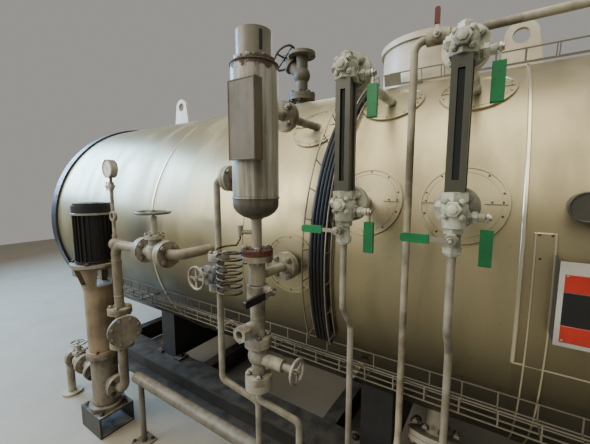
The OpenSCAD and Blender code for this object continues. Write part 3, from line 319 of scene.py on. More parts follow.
def tube(path, radius, sides, closed=False, reference=Z_AXIS):
    """A circle carried along a path: each point is path + radius * (cosine * side + sine * over).

    Side is square to the path and the reference, over is square to the path and side.
    """
    path = np.asarray(path, float)
    outline = radius * unit_circle(sides)
    if closed:
        heading = np.roll(path, -1, axis=0) - np.roll(path, 1, axis=0)
    else:
        heading = np.gradient(path, axis=0)
    heading /= np.linalg.norm(heading, axis=1, keepdims=True)
    side = np.cross(heading, reference)
    side /= np.linalg.norm(side, axis=1, keepdims=True)
    over = np.cross(side, heading)
    points = path[:, None] + outline[:, :1] * side[:, None] + outline[:, 1:] * over[:, None]
    quads = grid_quads(len(path), sides, wrap_rows=closed, wrap_columns=True)[:, ::-1]
    if closed:
        return points.reshape(-1, 3), quads, NO_TRIS
    fan = np.arange(1, sides - 1)
    near = np.stack([0 * fan, fan, fan + 1], axis=1)
    far = (len(path) - 1) * sides + near[:, ::-1]
    return points.reshape(-1, 3), quads, np.vstack([near, far])


def slab(width, depth, height, edge=0.001):
    """A plate centred on the origin with its foot on z = 0 and its edges broken by edge."""
    square = np.array([[-1, -1], [1, -1], [1, 1], [-1, 1]])
    outer = square * [width / 2, depth / 2]
    inner = square * [width / 2 - edge, depth / 2 - edge]
    levels = [(outer, 0), (outer, height - edge), (inner, height)]
    rings = np.array([np.column_stack([xy, np.full(4, z)]) for xy, z in levels])
    lids = [[3, 2, 1, 0], [8, 9, 10, 11]]
    return rings.reshape(-1, 3), np.vstack([grid_quads(3, 4, wrap_columns=True), lids]), NO_TRIS


# Washer, six-sided head with a chamfered top and a thread end, for a thread radius of 1
BOLT = turned([(2.1, 0), (2.1, 0.3), (1.95, 0.36), (1.85, 0.36), (1.85, 1.35), (1.6, 1.55), (1.0, 1.56),
               (1.0, 1.9), (0.8, 2.05)], 6)
# Low domed screw head of radius 1
SCREW = turned([(1.0, 0), (0.97, 0.22), (0.75, 0.42), (0.35, 0.52)], 10)
# Six-sided gland nut or plug with a round collar, for a radius across corners of 1
GLAND = turned([(1.0, 0), (1.0, 0.62), (0.88, 0.74), (0.6, 0.76), (0.6, 0.98), (0.5, 1.04)], 6)
# How far a flange's bolt circle lies inside its rim, in thread radii
BOLT_INSET = 2.3


def bolt_circle(surface, centre, axis, radius, count, size, shape=BOLT):
    """Heads round a circle square to an axis, looking along it."""
    surface.stamp(shape, circle_places(centre, axis, radius, count), axis, size)


def flange_bolts(surface, centre, axis, radius, half, size, count=4):
    """Bolts through a flange pair: heads on the far face and nuts on the near one."""
    places = circle_places(np.asarray(centre), axis, radius - BOLT_INSET * size, count)
    surface.stamp(BOLT, places + axis * half, axis, size)
    surface.stamp(BOLT, places - axis * half, -axis, size)


def end_flanges(surface, middle, axis, reach, flange):
    """Bolts of the two flanges that stand reach before and behind a middle."""
    for side in (-1, 1):
        flange_bolts(surface, middle + side * reach * axis, axis, *flange)


def weld_ring(radius, width, lumps=36):
    """A ring of weld: a torus whose thickness rises and falls along it in small scales."""
    steps = 144
    along = angles(steps)[:, None]
    scale = width * (1 + 0.18 * np.sin(along * lumps) + 0.1 * np.sin(along * 5 + 1))
    across, lift = unit_circle(8).T
    reach = radius + scale * across
    points = np.stack([reach * np.cos(along), reach * np.sin(along), scale * lift], axis=-1)
    return points.reshape(-1, 3), grid_quads(steps, 8, True, True), NO_TRIS


def on_shell(along, around, lift):
    """Points on the jacket: along X, an angle above the front's level line, and a lift off it."""
    reach = SHELL_R + lift
    parts = np.broadcast_arrays(along, -reach * np.cos(around), AXIS_Z + reach * np.sin(around))
    return np.stack(parts, axis=-1)


def shell_screws(surface, along, around, lift, size):
    """Screws on the jacket, each looking away from the shell's axis."""
    outward = on_shell(0, around, 0) - [0, 0, AXIS_Z]
    surface.stamp(SCREW, on_shell(along, around, lift), outward, size)


def band_on_shell(x, width, lift, start=-np.pi, end=np.pi, steps=200):
    """A low rounded strip round the jacket: its height is lift times a flattened sine across it.

    A strip that doesn't go all round ends in rows that lie on the sheet.
    """
    turn = np.linspace(0, np.pi, 8)
    across = x - np.cos(turn) * width / 2
    heights = np.minimum(1.0, 1.7 * np.sin(turn)) * lift
    closed = end - start > 2 * np.pi - 0.001
    around = np.linspace(start, end, steps, endpoint=not closed)
    ends = np.ones(steps)
    if not closed:
        around[1], around[-2] = start + 0.004, end - 0.004
        ends[[0, -1]] = 0.0
    points = on_shell(across, around[:, None], ends[:, None] * heights + 0.0002)
    return points, grid_quads(steps, len(across), wrap_rows=closed), NO_TRIS


def patch_on_shell(x, angle, radii, heights, sides=64):
    """Rings about a point of the jacket: each point's lift is worked out square to the sheet."""
    cos, sin = unit_circle(sides).T
    radii, heights = radii[:, None], heights[:, None]
    points = on_shell(x + radii * cos, angle + radii * sin / SHELL_R, heights)
    return points, grid_quads(len(radii), sides, wrap_columns=True), NO_TRIS


class Wiring:
    """Short calls for making and joining shader nodes."""

    def __init__(self, tree):
        self.tree = tree

    def node(self, kind, inputs=None, **settings):
        """A shader node by the end of its type's name, with its settings and inputs."""
        made = self.tree.nodes.new("ShaderNode" + kind)
        for key, value in settings.items():
            setattr(made, key, value)
        for key, value in (inputs or {}).items():
            self.feed(made.inputs[key], value)
        return made

    def feed(self, socket, value):
        """Links an output to a socket, or sets the socket's own value."""
        if isinstance(value, bpy.types.NodeSocket):
            self.tree.links.new(value, socket)
        else:
            socket.default_value = value

    def maths(self, operation, *values, clamp=False):
        """Result of a Math node."""
        inputs = dict(enumerate(values))
        return self.node("Math", inputs, operation=operation, use_clamp=clamp).outputs[0]

    def add(self, first, *others):
        """Sum of all values."""
        for other in others:
            first = self.maths("ADD", first, other)
        return first

    def less(self, first, second):
        return self.maths("SUBTRACT", first, second)

    def times(self, first, second):
        return self.maths("MULTIPLY", first, second)

    def ramp(self, value, low, high, to_low=0.0, to_high=1.0):
        """Smooth step from to_low to to_high as the value goes from low to high."""
        inputs = {"Value": value, "From Min": low, "From Max": high, "To Min": to_low, "To Max": to_high}
        return self.node("MapRange", inputs, interpolation_type="SMOOTHSTEP").outputs[0]

    def between(self, share, low, high):
        """Smooth step from low to high as the share goes from 0 to 1."""
        return self.ramp(share, 0.0, 1.0, low, high)

    def mix(self, first, second, share):
        """Two colours mixed; a triple holds screen numbers, and four numbers are linear."""
        made = self.node("Mix", {0: share}, data_type="RGBA")
        for index, value in ((6, first), (7, second)):
            is_screen = isinstance(value, tuple) and len(value) == 3
            self.feed(made.inputs[index], colour(*value) if is_screen else value)
        return made.outputs[2]

    def noise(self, vector, scale, detail=5.0, roughness=0.6):
        """Noise from 0 to 1 at so many waves a metre."""
        inputs = {"Vector": vector, "Scale": scale, "Detail": detail, "Roughness": roughness}
        return self.node("TexNoise", inputs).outputs[0]

    def place(self):
        """Place on the object, in metres."""
        return self.node("TexCoord").outputs["Object"]

    def split(self, vector):
        """The three parts of a vector."""
        return self.node("SeparateXYZ", {0: vector}).outputs

    def facing(self):
        """The three parts of the surface's direction."""
        return self.split(self.node("NewGeometry").outputs["Normal"])

    def stretched(self, vector, shares):
        """A vector with each part times its share."""
        return self.node("VectorMath", {0: vector, 1: shares}, operation="MULTIPLY").outputs[0]


class Finish(Wiring):
    """A material with its shader, and short calls for what most finishes have."""

    def __init__(self, name):
        self.material = bpy.data.materials.new(name)
        self.material.use_nodes = True
        super().__init__(self.material.node_tree)
        self.tree.nodes.clear()
        self.shader = self.node("BsdfPrincipled")
        self.node("OutputMaterial", {"Surface": self.shader.outputs[0]})

    def masks(self, name, **inputs):
        """What the shader group of that name puts out."""
        return self.node("Group", inputs, node_tree=group(name)).outputs

    def crease_shade(self, share):
        """Mask of painted shade in the inner corners of the piece itself, from 0 to share."""
        hollow = self.node("AmbientOcclusion", {"Distance": CREASE_REACH}, only_local=True, samples=4)
        return self.ramp(hollow.outputs["AO"], 0.80, 0.30, 0.0, share)

    def surface(self, base, rough, metal=0.0):
        """Colour, roughness and metal of the shader."""
        for name, value in (("Base Color", base), ("Roughness", rough), ("Metallic", metal)):
            self.feed(self.shader.inputs[name], value)

    def bump(self, height, strength, distance):
        """Raises the surface by a height mask."""
        made = self.node("Bump", {"Height": height, "Strength": strength, "Distance": distance})
        self.feed(self.shader.inputs["Normal"], made.outputs[0])


def new_group(name, inputs, outputs):
    """An empty shader group with named number inputs and outputs."""
    tree = bpy.data.node_groups.new(name, "ShaderNodeTree")
    for label, value in inputs.items():
        socket = tree.interface.new_socket(label, in_out="INPUT", socket_type="NodeSocketFloat")
        socket.default_value = value
    for label in outputs:
        tree.interface.new_socket(label, in_out="OUTPUT", socket_type="NodeSocketFloat")
    given, out = tree.nodes.new("NodeGroupInput"), tree.nodes.new("NodeGroupOutput")
    return Wiring(tree), given.outputs, out.inputs


def weather_group():
    """Masks of age: wide blotches, runs that hang down, fine specks and dust on upward faces."""
    wiring, given, out = new_group("weather", {"Size": 1.0}, ["Blotch", "Runs", "Specks", "Dust"])
    place = wiring.place()
    scaled = wiring.node("VectorMath", {0: place, 3: given["Size"]}, operation="SCALE").outputs[0]
    settled = wiring.ramp(wiring.facing()[2], 0.35, 0.95)
    patchy = wiring.ramp(wiring.noise(place, 14.0), 0.32, 0.62)
    wiring.feed(out["Blotch"], wiring.noise(scaled, 4.0, 7.0, 0.62))
    wiring.feed(out["Runs"], wiring.noise(wiring.stretched(place, (16, 16, 1.3)), 2.2, 4.0, 0.55))
    wiring.feed(out["Specks"], wiring.noise(place, 95.0, 4.0, 0.65))
    wiring.feed(out["Dust"], wiring.times(settled, patchy))
    return wiring.tree


def grain_group():
    """Rolled sheet: fine lines round the shell, soft smears and slight waves of the sheet."""
    wiring, given, out = new_group("rolled_sheet", {"Lines": 1.0}, ["Lines", "Smears", "Waves"])
    place = wiring.place()
    lines = wiring.noise(wiring.stretched(place, (420, 7, 7)), 1.0, 3.0, 0.5)
    wiring.feed(out["Lines"], wiring.times(lines, given["Lines"]))
    wiring.feed(out["Smears"], wiring.noise(wiring.stretched(place, (5, 2, 1.1)), 1.3, 6.0, 0.58))
    wiring.feed(out["Waves"], wiring.noise(place, 1.9, 2.0, 0.4))
    return wiring.tree


def cast_group():
    """Sand-cast skin: a fine uneven height with a few deeper pits."""
    wiring, given, out = new_group("cast_skin", {"Pits": 0.4}, ["Height"])
    place = wiring.place()
    pits = wiring.ramp(wiring.noise(place, 70.0, 2.0, 0.5), 0.34, 0.48)
    skin = wiring.noise(place, 260.0, 3.0, 0.6)
    wiring.feed(out["Height"], wiring.add(skin, wiring.times(pits, given["Pits"])))
    return wiring.tree


GROUP_MAKERS = {"weather": weather_group, "rolled_sheet": grain_group, "cast_skin": cast_group}
GROUPS = {}
MATERIALS = {}


def group(name):
    """The shader group of that name, made the first time that it is asked for."""
    if name not in GROUPS:
        GROUPS[name] = GROUP_MAKERS[name]()
    return GROUPS[name]


RUST_DARK = (64, 42, 30)
RUST_LIGHT = (118, 82, 54)
DUST = (168, 160, 144)
# Painted shade in inner corners: its colour, and how far the occlusion looks
CREASE_SHADE_TINT = (46, 40, 34)
CREASE_REACH = 0.022
SHEET_DARK = (104, 94, 74)
# Painted shade of the cladding's underside: its colour, the height where it starts and where it is full
UNDERSIDE_SHADE_TINT = (60, 58, 50)
UNDERSIDE_SHADE_TOP_Z = 1.24
UNDERSIDE_SHADE_FULL_Z = 0.76
# How much darker or lighter the cladding gets past each seam, from the left sheet's tone
LEFT_TONE = 0.14
CAP_PAINT_Z = CHAMBER_TOP_Z + 0.0145
CAP_RUST_Z = CHAMBER_TOP_Z - 0.006
CAP_RUST_SPREAD = 0.090
# Heights between which each zone of the chamber fades in, from above
DOME_FADE = (CHAMBER_LOW_Z + 0.010, CHAMBER_LOW_Z - 0.012)
NECK_FADE = (NECK_TOP_Z + 0.006, NECK_TOP_Z - 0.004)
FOOT_FADE = (PAIR_Z + 0.026, PAIR_Z + 0.021)
SHEET_TONES = ((LEFT_SEAM_X, -0.12), (MIDDLE_SEAM_X, 0.08), (BEAD_X, 0.22))


def painted(name, paint, worn, rust=0.1, runs=0.3, dust=0.25, gloss=0.45, cast=0.15, metal=0.0, size=1.0):
    """Paint that has darkened in blotches, rusts through in spots, and gathers dirt and dust.

    Blotches and runs mix paint and worn paint; where blotches, specks and runs add up past an
    edge, rust shows; painted shade darkens the inner corners, and dust lies on what faces up.
    """
    mat = Finish(name)
    blotch, hanging, specks, settled = mat.masks("weather", Size=size)
    dirt = mat.maths("MULTIPLY_ADD", hanging, runs, 0.5 - runs / 2)
    base = mat.mix(paint, worn, mat.ramp(mat.add(blotch, mat.less(dirt, 0.5)), 0.36, 0.66))
    mixed = mat.add(mat.times(blotch, 0.5), mat.times(specks, 0.32), mat.times(hanging, 0.18))
    edge = 0.66 - 0.22 * rust
    bare = mat.ramp(mixed, edge, edge + 0.06)
    settled = mat.times(settled, dust)
    base = mat.mix(base, mat.mix(RUST_DARK, RUST_LIGHT, mat.ramp(specks, 0.35, 0.65)), bare)
    # Painted shade: inner corners darken by the piece's own occlusion
    base = mat.mix(base, CREASE_SHADE_TINT, mat.crease_shade(0.75))
    base = mat.mix(base, DUST, settled)
    rough = mat.add(mat.ramp(blotch, 0.3, 0.7, gloss - 0.08, gloss + 0.1), mat.times(bare, 0.35))
    mat.surface(base, mat.maths("ADD", rough, mat.times(settled, 0.3), clamp=True), metal)
    skin = mat.masks("cast_skin")[0]
    mat.bump(mat.add(mat.times(skin, cast), bare), 0.35, 0.0012)
    return mat.material


def bare_metal(name, base, stain, gloss, stain_share, lines):
    """Bare metal with stains that dull it and a light grain."""
    mat = Finish(name)
    blotch, _, specks, _ = mat.masks("weather")
    edge = 0.68 - 0.3 * stain_share
    stained = mat.ramp(mat.add(mat.times(blotch, 0.7), mat.times(specks, 0.3)), edge, edge + 0.14)
    rough = mat.between(stained, gloss, gloss + 0.3)
    mat.surface(mat.mix(base, stain, stained), rough, mat.between(stained, 0.95, 0.55))
    grain = mat.masks("rolled_sheet")[0]
    mat.bump(mat.add(mat.times(grain, lines), mat.times(specks, 0.3)), 0.2, 0.0005)
    return mat.material


def jacket_material(look):
    """Satin cladding: rolled lines, hanging smears that dull it, and waves in the sheet.

    Each sheet between two seams has its own tone, spots lie over all, and a painted shade
    thickens towards the shell's underside.
    """
    mat = Finish("satin_cladding")
    lines, smears, waves = mat.masks("rolled_sheet")
    _, hanging, specks, settled = mat.masks("weather")
    x, _, z = mat.split(mat.place())
    smears = mat.times(mat.ramp(smears, 0.36, 0.68), 0.7)
    tone = LEFT_TONE
    for seam_x, change in SHEET_TONES:
        tone = mat.add(mat.times(mat.maths("GREATER_THAN", x, seam_x), change), tone)
    base = mat.mix((*look.sheet_colour, 1.0), (*look.sheet_dull, 1.0), smears)
    base = mat.mix(base, SHEET_DARK, tone)
    base = mat.mix(base, (112, 102, 88), mat.times(mat.ramp(specks, 0.60, 0.72), 0.25))
    base = mat.mix(base, (122, 111, 90), mat.times(mat.ramp(hanging, 0.62, 0.80), 0.2))
    base = mat.mix(base, DUST, mat.times(settled, 0.35))
    # Painted shade: the cladding darkens towards the shell's underside
    base = mat.mix(base, UNDERSIDE_SHADE_TINT, mat.ramp(z, UNDERSIDE_SHADE_TOP_Z, UNDERSIDE_SHADE_FULL_Z, 0.0, 0.92))
    mat.surface(base, mat.between(smears, look.sheet_gloss, 0.50), mat.between(smears, 0.88, 0.66))
    mat.bump(mat.add(mat.times(lines, 0.02), waves), 0.16, 0.012)
    return mat.material


def chamber_material():
    """Grey-brown paint with dark runs, a stained dome, a pale neck and rusty flanges.

    The height z picks the zone: the cap with rust round its flange, the tube, below the lower weld
    the dome, under it the neck, then the foot flange.
    """
    mat = Finish("chamber_paint")
    blotch, hanging, specks, _ = mat.masks("weather")
    place = mat.place()
    z = mat.split(place)[2]
    streaks = mat.noise(mat.stretched(place, (44, 44, 1.8)), 1.0, 4.0, 0.6)
    runs = mat.ramp(mat.add(mat.times(streaks, 0.6), mat.times(blotch, 0.4)), 0.44, 0.64)
    on_cap = mat.maths("GREATER_THAN", z, CAP_PAINT_Z)
    away = mat.maths("ABSOLUTE", mat.less(z, CAP_RUST_Z))
    away = mat.less(away, mat.times(mat.noise(place, 34.0, 5.0, 0.65), CAP_RUST_SPREAD))
    cap_rust = mat.times(mat.ramp(away, -0.022, -0.032, 0.0, 0.94), mat.less(1.0, on_cap))
    dome, neck, foot = (mat.ramp(z, *fade) for fade in (DOME_FADE, NECK_FADE, FOOT_FADE))
    base = mat.mix((166, 166, 154), (126, 121, 106), mat.ramp(hanging, 0.35, 0.65))
    base = mat.mix(base, (66, 59, 49), mat.times(runs, 0.7))
    base = mat.mix(base, mat.mix((120, 118, 104), (94, 90, 78), mat.ramp(blotch, 0.35, 0.65)), on_cap)
    base = mat.mix(base, mat.mix((36, 25, 19), (78, 54, 38), specks), cap_rust)
    stained = mat.mix((98, 90, 76), (62, 54, 45), mat.ramp(blotch, 0.38, 0.60))
    base = mat.mix(base, stained, mat.times(dome, 0.85))
    base = mat.mix(base, (150, 143, 126), neck)
    base = mat.mix(base, mat.mix((58, 34, 26), (92, 54, 40), mat.ramp(specks, 0.35, 0.65)), foot)
    # Painted shade: inner corners darken by the piece's own occlusion
    base = mat.mix(base, CREASE_SHADE_TINT, mat.crease_shade(0.7))
    dry = mat.maths("MAXIMUM", mat.times(runs, 0.6), mat.maths("MAXIMUM", foot, cap_rust))
    mat.surface(base, mat.between(dry, 0.37, 0.72))
    mat.bump(mat.add(mat.times(specks, 0.5), mat.times(runs, 0.4)), 0.3, 0.001)
    return mat.material


def plate_frame_material():
    """Pale frame of the name plate: what faces the front is bare sheet, its sides are dark."""
    mat = Finish("plate_frame")
    blotch, _, specks, _ = mat.masks("weather")
    face = mat.ramp(mat.maths("ABSOLUTE", mat.facing()[1]), 0.6, 0.8)
    scuffs = mat.ramp(blotch, 0.36, 0.66)
    sheet = mat.mix((186, 184, 178), (150, 146, 138), scuffs)
    side = mat.mix((40, 41, 44), (58, 56, 52), scuffs)
    mat.surface(mat.mix(side, sheet, face), mat.between(scuffs, 0.34, 0.55))
    mat.bump(specks, 0.15, 0.0006)
    return mat.material


def sleeve_material(name, base, worn, gloss):
    """Plastic sleeve: a soft shine, small scuffs and a faint mottling."""
    mat = Finish(name)
    blotch, _, specks, _ = mat.masks("weather")
    scuffs = mat.ramp(specks, 0.56, 0.70)
    mottled = mat.mix(base, worn, mat.ramp(blotch, 0.35, 0.7))
    mat.surface(mat.mix(mottled, worn, scuffs), mat.between(scuffs, gloss, gloss + 0.22))
    mat.bump(specks, 0.12, 0.0008)
    return mat.material


def glass_material():
    """Sight glass: dark, smooth, with faint lime marks that dull it."""
    mat = Finish("sight_glass")
    lime = mat.ramp(mat.masks("weather")["Runs"], 0.55, 0.75)
    mat.surface(mat.mix((18, 22, 24), (120, 122, 116), lime), mat.between(lime, 0.06, 0.3))
    mat.shader.inputs["Coat Weight"].default_value = 0.6
    return mat.material


def dial_material():
    """White dial with plain numberless marks drawn as short rays, under a clear glass."""
    marks, mark_half, mark_start, mark_end = 20, 0.1, 0.031, 0.037
    mat = Finish("gauge_dial")
    x, _, z = mat.split(mat.place())
    across, above = mat.less(x, DELIVERY_X), mat.less(z, DIAL_Z)
    reach = mat.maths("SQRT", mat.add(mat.times(across, across), mat.times(above, above)))
    turn = mat.times(mat.maths("ARCTAN2", above, across), marks / (2 * math.pi))
    off_mark = mat.maths("ABSOLUTE", mat.less(mat.maths("FRACT", turn), 0.5))
    ring = mat.times(mat.maths("GREATER_THAN", reach, mark_start), mat.maths("LESS_THAN", reach, mark_end))
    mark = mat.times(mat.maths("LESS_THAN", off_mark, mark_half), ring)
    mat.surface(mat.mix((226, 222, 210), (30, 30, 30), mark), 0.4)
    mat.shader.inputs["Coat Weight"].default_value = 0.8
    return mat.material


def floor_material():
    """Pale matt floor with faint wide blotches."""
    mat = Finish("pale_floor")
    tone = mat.ramp(mat.masks("weather")["Blotch"], 0.2, 0.8)
    mat.surface(mat.mix((154, 148, 134), (144, 138, 124), tone), 0.75)
    return mat.material


# Paints: the colour, the worn colour, and how far each kind of age has gone
PAINTS = {
    "end_paint": ((38, 42, 54), (30, 33, 42), dict(rust=0.05, dust=0.3, gloss=0.4)),
    "saddle_paint": ((40, 40, 42), (30, 29, 28), dict(dust=0.35)),
    "cream_paint": ((188, 181, 164), (164, 154, 132), dict(rust=0.05, runs=0.15)),
    "black_cast": ((74, 72, 65), (54, 52, 46), dict(rust=0.0, dust=0.2, gloss=0.36)),
    "header_paint": ((106, 101, 88), (80, 75, 63), dict(rust=0.12, runs=0.4, cast=0.25, size=2.0)),
    "feed_paint": ((132, 125, 107), (98, 90, 75), dict(rust=0.15, runs=0.4, cast=0.3, size=2.0)),
    "valve_brown": ((88, 84, 70), (62, 58, 46), dict(rust=0.25, gloss=0.55, cast=0.5)),
    "wheel_dark": ((58, 66, 62), (40, 46, 44), dict(rust=0.15, cast=0.5)),
    "gauge_dark": ((64, 66, 54), (48, 50, 40), dict(rust=0.05, cast=0.3)),
    "cock_paint": ((194, 197, 179), (120, 120, 103), dict(rust=0.12, gloss=0.5, cast=0.6, size=2.5)),
    "pipe_paint": ((152, 148, 132), (112, 106, 91), dict(rust=0.12, runs=0.4, cast=0.25, size=2.0)),
    "pipe_rust": ((156, 150, 128), (92, 84, 67), dict(rust=0.3, gloss=0.55, cast=0.4, size=2.0)),
    "valve_grey": ((156, 152, 137), (96, 89, 73), dict(rust=0.24, runs=0.4, gloss=0.5, cast=0.6, size=3.0)),
    "wheel_olive": ((104, 108, 92), (76, 78, 64), dict(cast=0.4, size=2.5)),
    "valve_blue": ((126, 131, 135), (102, 102, 99), dict(rust=0.12, cast=0.4, size=2.5)),
    "sign_paint": ((96, 88, 72), (76, 68, 55), dict(rust=0.04, runs=0.4, gloss=0.55)),
    "plinth_black": ((44, 40, 31), (58, 52, 40), dict(rust=0.12, dust=0.45)),
    "pump_cast": ((124, 117, 101), (76, 69, 56), dict(rust=0.28, gloss=0.55, cast=0.7, size=3.0)),
    "pump_column": ((146, 128, 102), (104, 91, 72), dict(gloss=0.4, cast=0.3, metal=0.2)),
    "motor_black": ((11, 11, 14), (8, 8, 10), dict(rust=0.0, dust=0.1, gloss=0.5, cast=0.4)),
    "panel_red": ((176, 46, 32), (150, 40, 28), dict(rust=0.0, gloss=0.4, cast=0.0)),
    "panel_black": ((28, 28, 30), (38, 36, 36), dict(rust=0.0, gloss=0.4, cast=0.0)),
}

# Bare metals: the colour, the stain, its gloss, the stained share and the strength of its lines
METALS = {
    "cover_sheet": ((172, 163, 132), (142, 131, 102), 0.40, 0.5, 0.02),
    # Painted highlight: a paler, glossier sheet for the left seam, the bead, its laps and the strip's edges
    "bright_seam": ((214, 206, 180), (178, 166, 138), 0.30, 0.3, 0.0),
    "plate": ((176, 176, 172), (140, 134, 122), 0.32, 0.4, 0.05),
    "tube_steel": ((78, 71, 60), (46, 38, 30), 0.5, 0.6, 0.0),
    "tray_zinc": ((156, 151, 136), (128, 119, 101), 0.4, 0.4, 0.0),
    "bolt_steel": ((148, 142, 128), (100, 82, 64), 0.4, 0.5, 0.0),
    "bolt_dark": ((78, 74, 68), (62, 50, 40), 0.45, 0.5, 0.0),
}

# Sleeves: the colour, the scuffed colour and the gloss
SLEEVES = {
    "black_sleeve": ((15, 15, 16), (36, 35, 33), 0.38),
    "red_sleeve": ((88, 24, 20), (56, 17, 15), 0.38),
    "cable_black": ((11, 11, 11), (24, 23, 22), 0.58),
}
GREEN_SCUFF = (14, 84, 46)
SKID_WORN = (48, 46, 41)
LEVER_ARM = (176, 172, 160)

# The solids that each finish covers
NODE_FINISH = {
    "sheet": "jacket",
    "end_paint": "left_end right_end",
    "skid_paint": "front_beam rear_beam cross_members",
    "saddle_paint": "saddles",
    "cream_paint": "lifting_lugs manway blowdown_flange",
    "cover_sheet": "nozzle_covers",
    "black_cast": "hand_hole",
    "plate_frame": "name_plate",
    "sign_paint": "sign_plate",
    "valve_brown": "steam_valve_body",
    "wheel_dark": "steam_valve_wheel",
    "gauge_dark": "gauge_left_body gauge_right_body",
    "cock_paint": "gauge_left_cocks gauge_right_cocks",
    "pipe_paint": "gauge_drain_pipes chamber_drain_pipe sample_pipe",
    "feed_paint": "feed_line",
    "header_paint": "drain_header",
    "pipe_rust": "vent_pipe chamber_branches suction_line",
    "chamber_paint": "level_chamber chamber_cap",
    "valve_grey": "ball_valve_body drain_valve_body drain_valve_wheel sample_valve_wheel "
                  "feed_valve_body suction_wheel pressure_gauge gauge_cock_handle",
    "wheel_olive": "feed_valve_wheel",
    "valve_blue": "sample_valve_body",
    "tube_steel": "sample_coil",
    "plinth_black": "pump_plinth",
    "pump_cast": "pump_foot",
    "pump_column": "pump_column",
    "motor_black": "pump_motor",
    "tray_zinc": "bottom_tray top_tray riser_tray",
    "cable_black": "cable_bundle",
}


def finishes(look):
    """All finishes by a plain name; the record's slots are listed beside the pieces below."""
    for name, (paint, worn, age) in PAINTS.items():
        MATERIALS[name] = painted(name, paint, worn, **age)
    for name, row in METALS.items():
        MATERIALS[name] = bare_metal(name, *row)
    for name, row in SLEEVES.items():
        MATERIALS[name] = sleeve_material(name, *row)
    skid, green = (*look.skid_colour, 1.0), (*look.sleeve_colour, 1.0)
    MATERIALS["skid_paint"] = painted("skid_paint", skid, SKID_WORN, rust=0.02, dust=0.12, gloss=0.5)
    MATERIALS["green_sleeve"] = sleeve_material("green_sleeve", green, GREEN_SCUFF, 0.38)
    MATERIALS["sheet"] = jacket_material(look)
    MATERIALS["chamber_paint"] = chamber_material()
    MATERIALS["plate_frame"] = plate_frame_material()
    MATERIALS["glass"] = glass_material()
    MATERIALS["dial"] = dial_material()


def sleeve_mix(name, sleeve, eye, reach, direction):
    """Steel arm up to the sleeve's start, then the sleeve, split where the arm ends."""
    material = MATERIALS[sleeve].copy()
    material.name = name
    wiring = Wiring(material.node_tree)
    inputs = next(n for n in material.node_tree.nodes if n.type == "BSDF_PRINCIPLED").inputs
    moved = wiring.node("VectorMath", {0: wiring.place(), 1: tuple(eye)}, operation="SUBTRACT").outputs[0]
    along = wiring.node("VectorMath", {0: moved, 1: tuple(direction)}, operation="DOT_PRODUCT")
    on_sleeve = wiring.maths("GREATER_THAN", along.outputs["Value"], reach - 0.0008)
    shown = inputs["Base Color"].links[0].from_socket
    dull = inputs["Roughness"].links[0].from_socket
    wiring.feed(inputs["Base Color"], wiring.mix(LEVER_ARM, shown, on_sleeve))
    wiring.feed(inputs["Metallic"], wiring.between(on_sleeve, 0.9, 0.0))
    wiring.feed(inputs["Roughness"], wiring.maths("MAXIMUM", dull, 0.36))
    return material


# Levers: the sleeve, where it starts from the joint, the lever's run, the nut's side and its seat
LEVERS = {
    "ball_valve_lever": ("black_sleeve", 0.050, -Y_AXIS, X_AXIS, 0.0025),
    "vent_lever": ("red_sleeve", 0.022, Z_AXIS, -Y_AXIS, 0.002),
}
for _side in GAUGES:
    LEVERS[f"lever_{_side}_top"] = ("green_sleeve", 0.030, -Z_AXIS, X_AXIS, 0.0025)
    LEVERS[f"lever_{_side}_bottom"] = ("green_sleeve", 0.030, -Z_AXIS, X_AXIS, 0.0025)
    LEVERS[f"lever_{_side}_drain"] = ("green_sleeve", 0.048, -X_AXIS, -Y_AXIS, 0.0025)
# Lever nuts: the radius across corners, of the chamfered top and of the hole round the spindle
LEVER_NUT = (0.0085, 0.0068, 0.00515)
VENT_NUT = (0.006, 0.0042, 0.0042)


def joint_of(node):
    """Place of the hinge that carries a node."""
    return next(np.array(j["pos_m"]) for j in frame["joints"] if j["child"] == node)


def node_slot(node):
    """The record's material slot of a solid."""
    return next(s["material_slot"] for s in frame["record"]["subparts"] if s["node"] == node)


def tint_property(label, note, value):
    """Property that holds a colour."""
    return bpy.props.FloatVectorProperty(name=label, description=note, subtype="COLOR", default=value)


def number_property(label, note, value, **kind):
    """Property that holds a number."""
    return bpy.props.FloatProperty(name=label, description=note, default=value, **kind)


class BoilerShellLook(bpy.types.PropertyGroup):
    """Colours and sizes of the shell's cladding and of the skid."""

    sheet_colour: tint_property("Sheet colour", "Clean cladding", (0.48, 0.42, 0.25))
    sheet_dull: tint_property("Dull sheet", "Smeared cladding", (0.375, 0.325, 0.19))
    sheet_gloss: number_property("Sheet roughness", "Roughness of clean cladding", 0.36, min=0.05, max=1.0)
    skid_colour: tint_property("Skid paint", "Paint of the long beams", (0.042, 0.042, 0.038))
    sleeve_colour: tint_property("Sleeve colour", "Grips of the gauge levers", (0.005, 0.185, 0.058))
    band_width: number_property("Seam band", "Width of a jacket seam band", 0.016, unit="LENGTH")
    band_lift: number_property("Seam height", "Height of a seam band", 0.0026, unit="LENGTH")


class BoilerSceneLook(bpy.types.PropertyGroup):
    """Camera and light."""

    camera_place: bpy.props.FloatVectorProperty(
        name="Camera", description="Place of the camera", subtype="TRANSLATION", default=(1.21, -1.89, 1.48))
    camera_turn: number_property("Turn", "Turn to the left of the rear", math.radians(33.2), subtype="ANGLE")
    camera_dip: number_property("Dip", "Tilt below the horizon", math.radians(6.85), subtype="ANGLE")
    focal_share: number_property("Focal share", "Focal length as a share of the picture's width", 310 / 590)
    sky_strength: number_property("Sky", "Strength of the light from all round", 0.36)
    ceiling_power: number_property("Ceiling", "Power of the warm light from above", 190.0)
    window_power: number_property("Window", "Power of the cool light from the left", 480.0)
    fill_power: number_property("Fill", "Power of the warm light from the left front", 190.0)
    rear_power: number_property("Rear", "Power of the warm light behind the shell", 70.0)


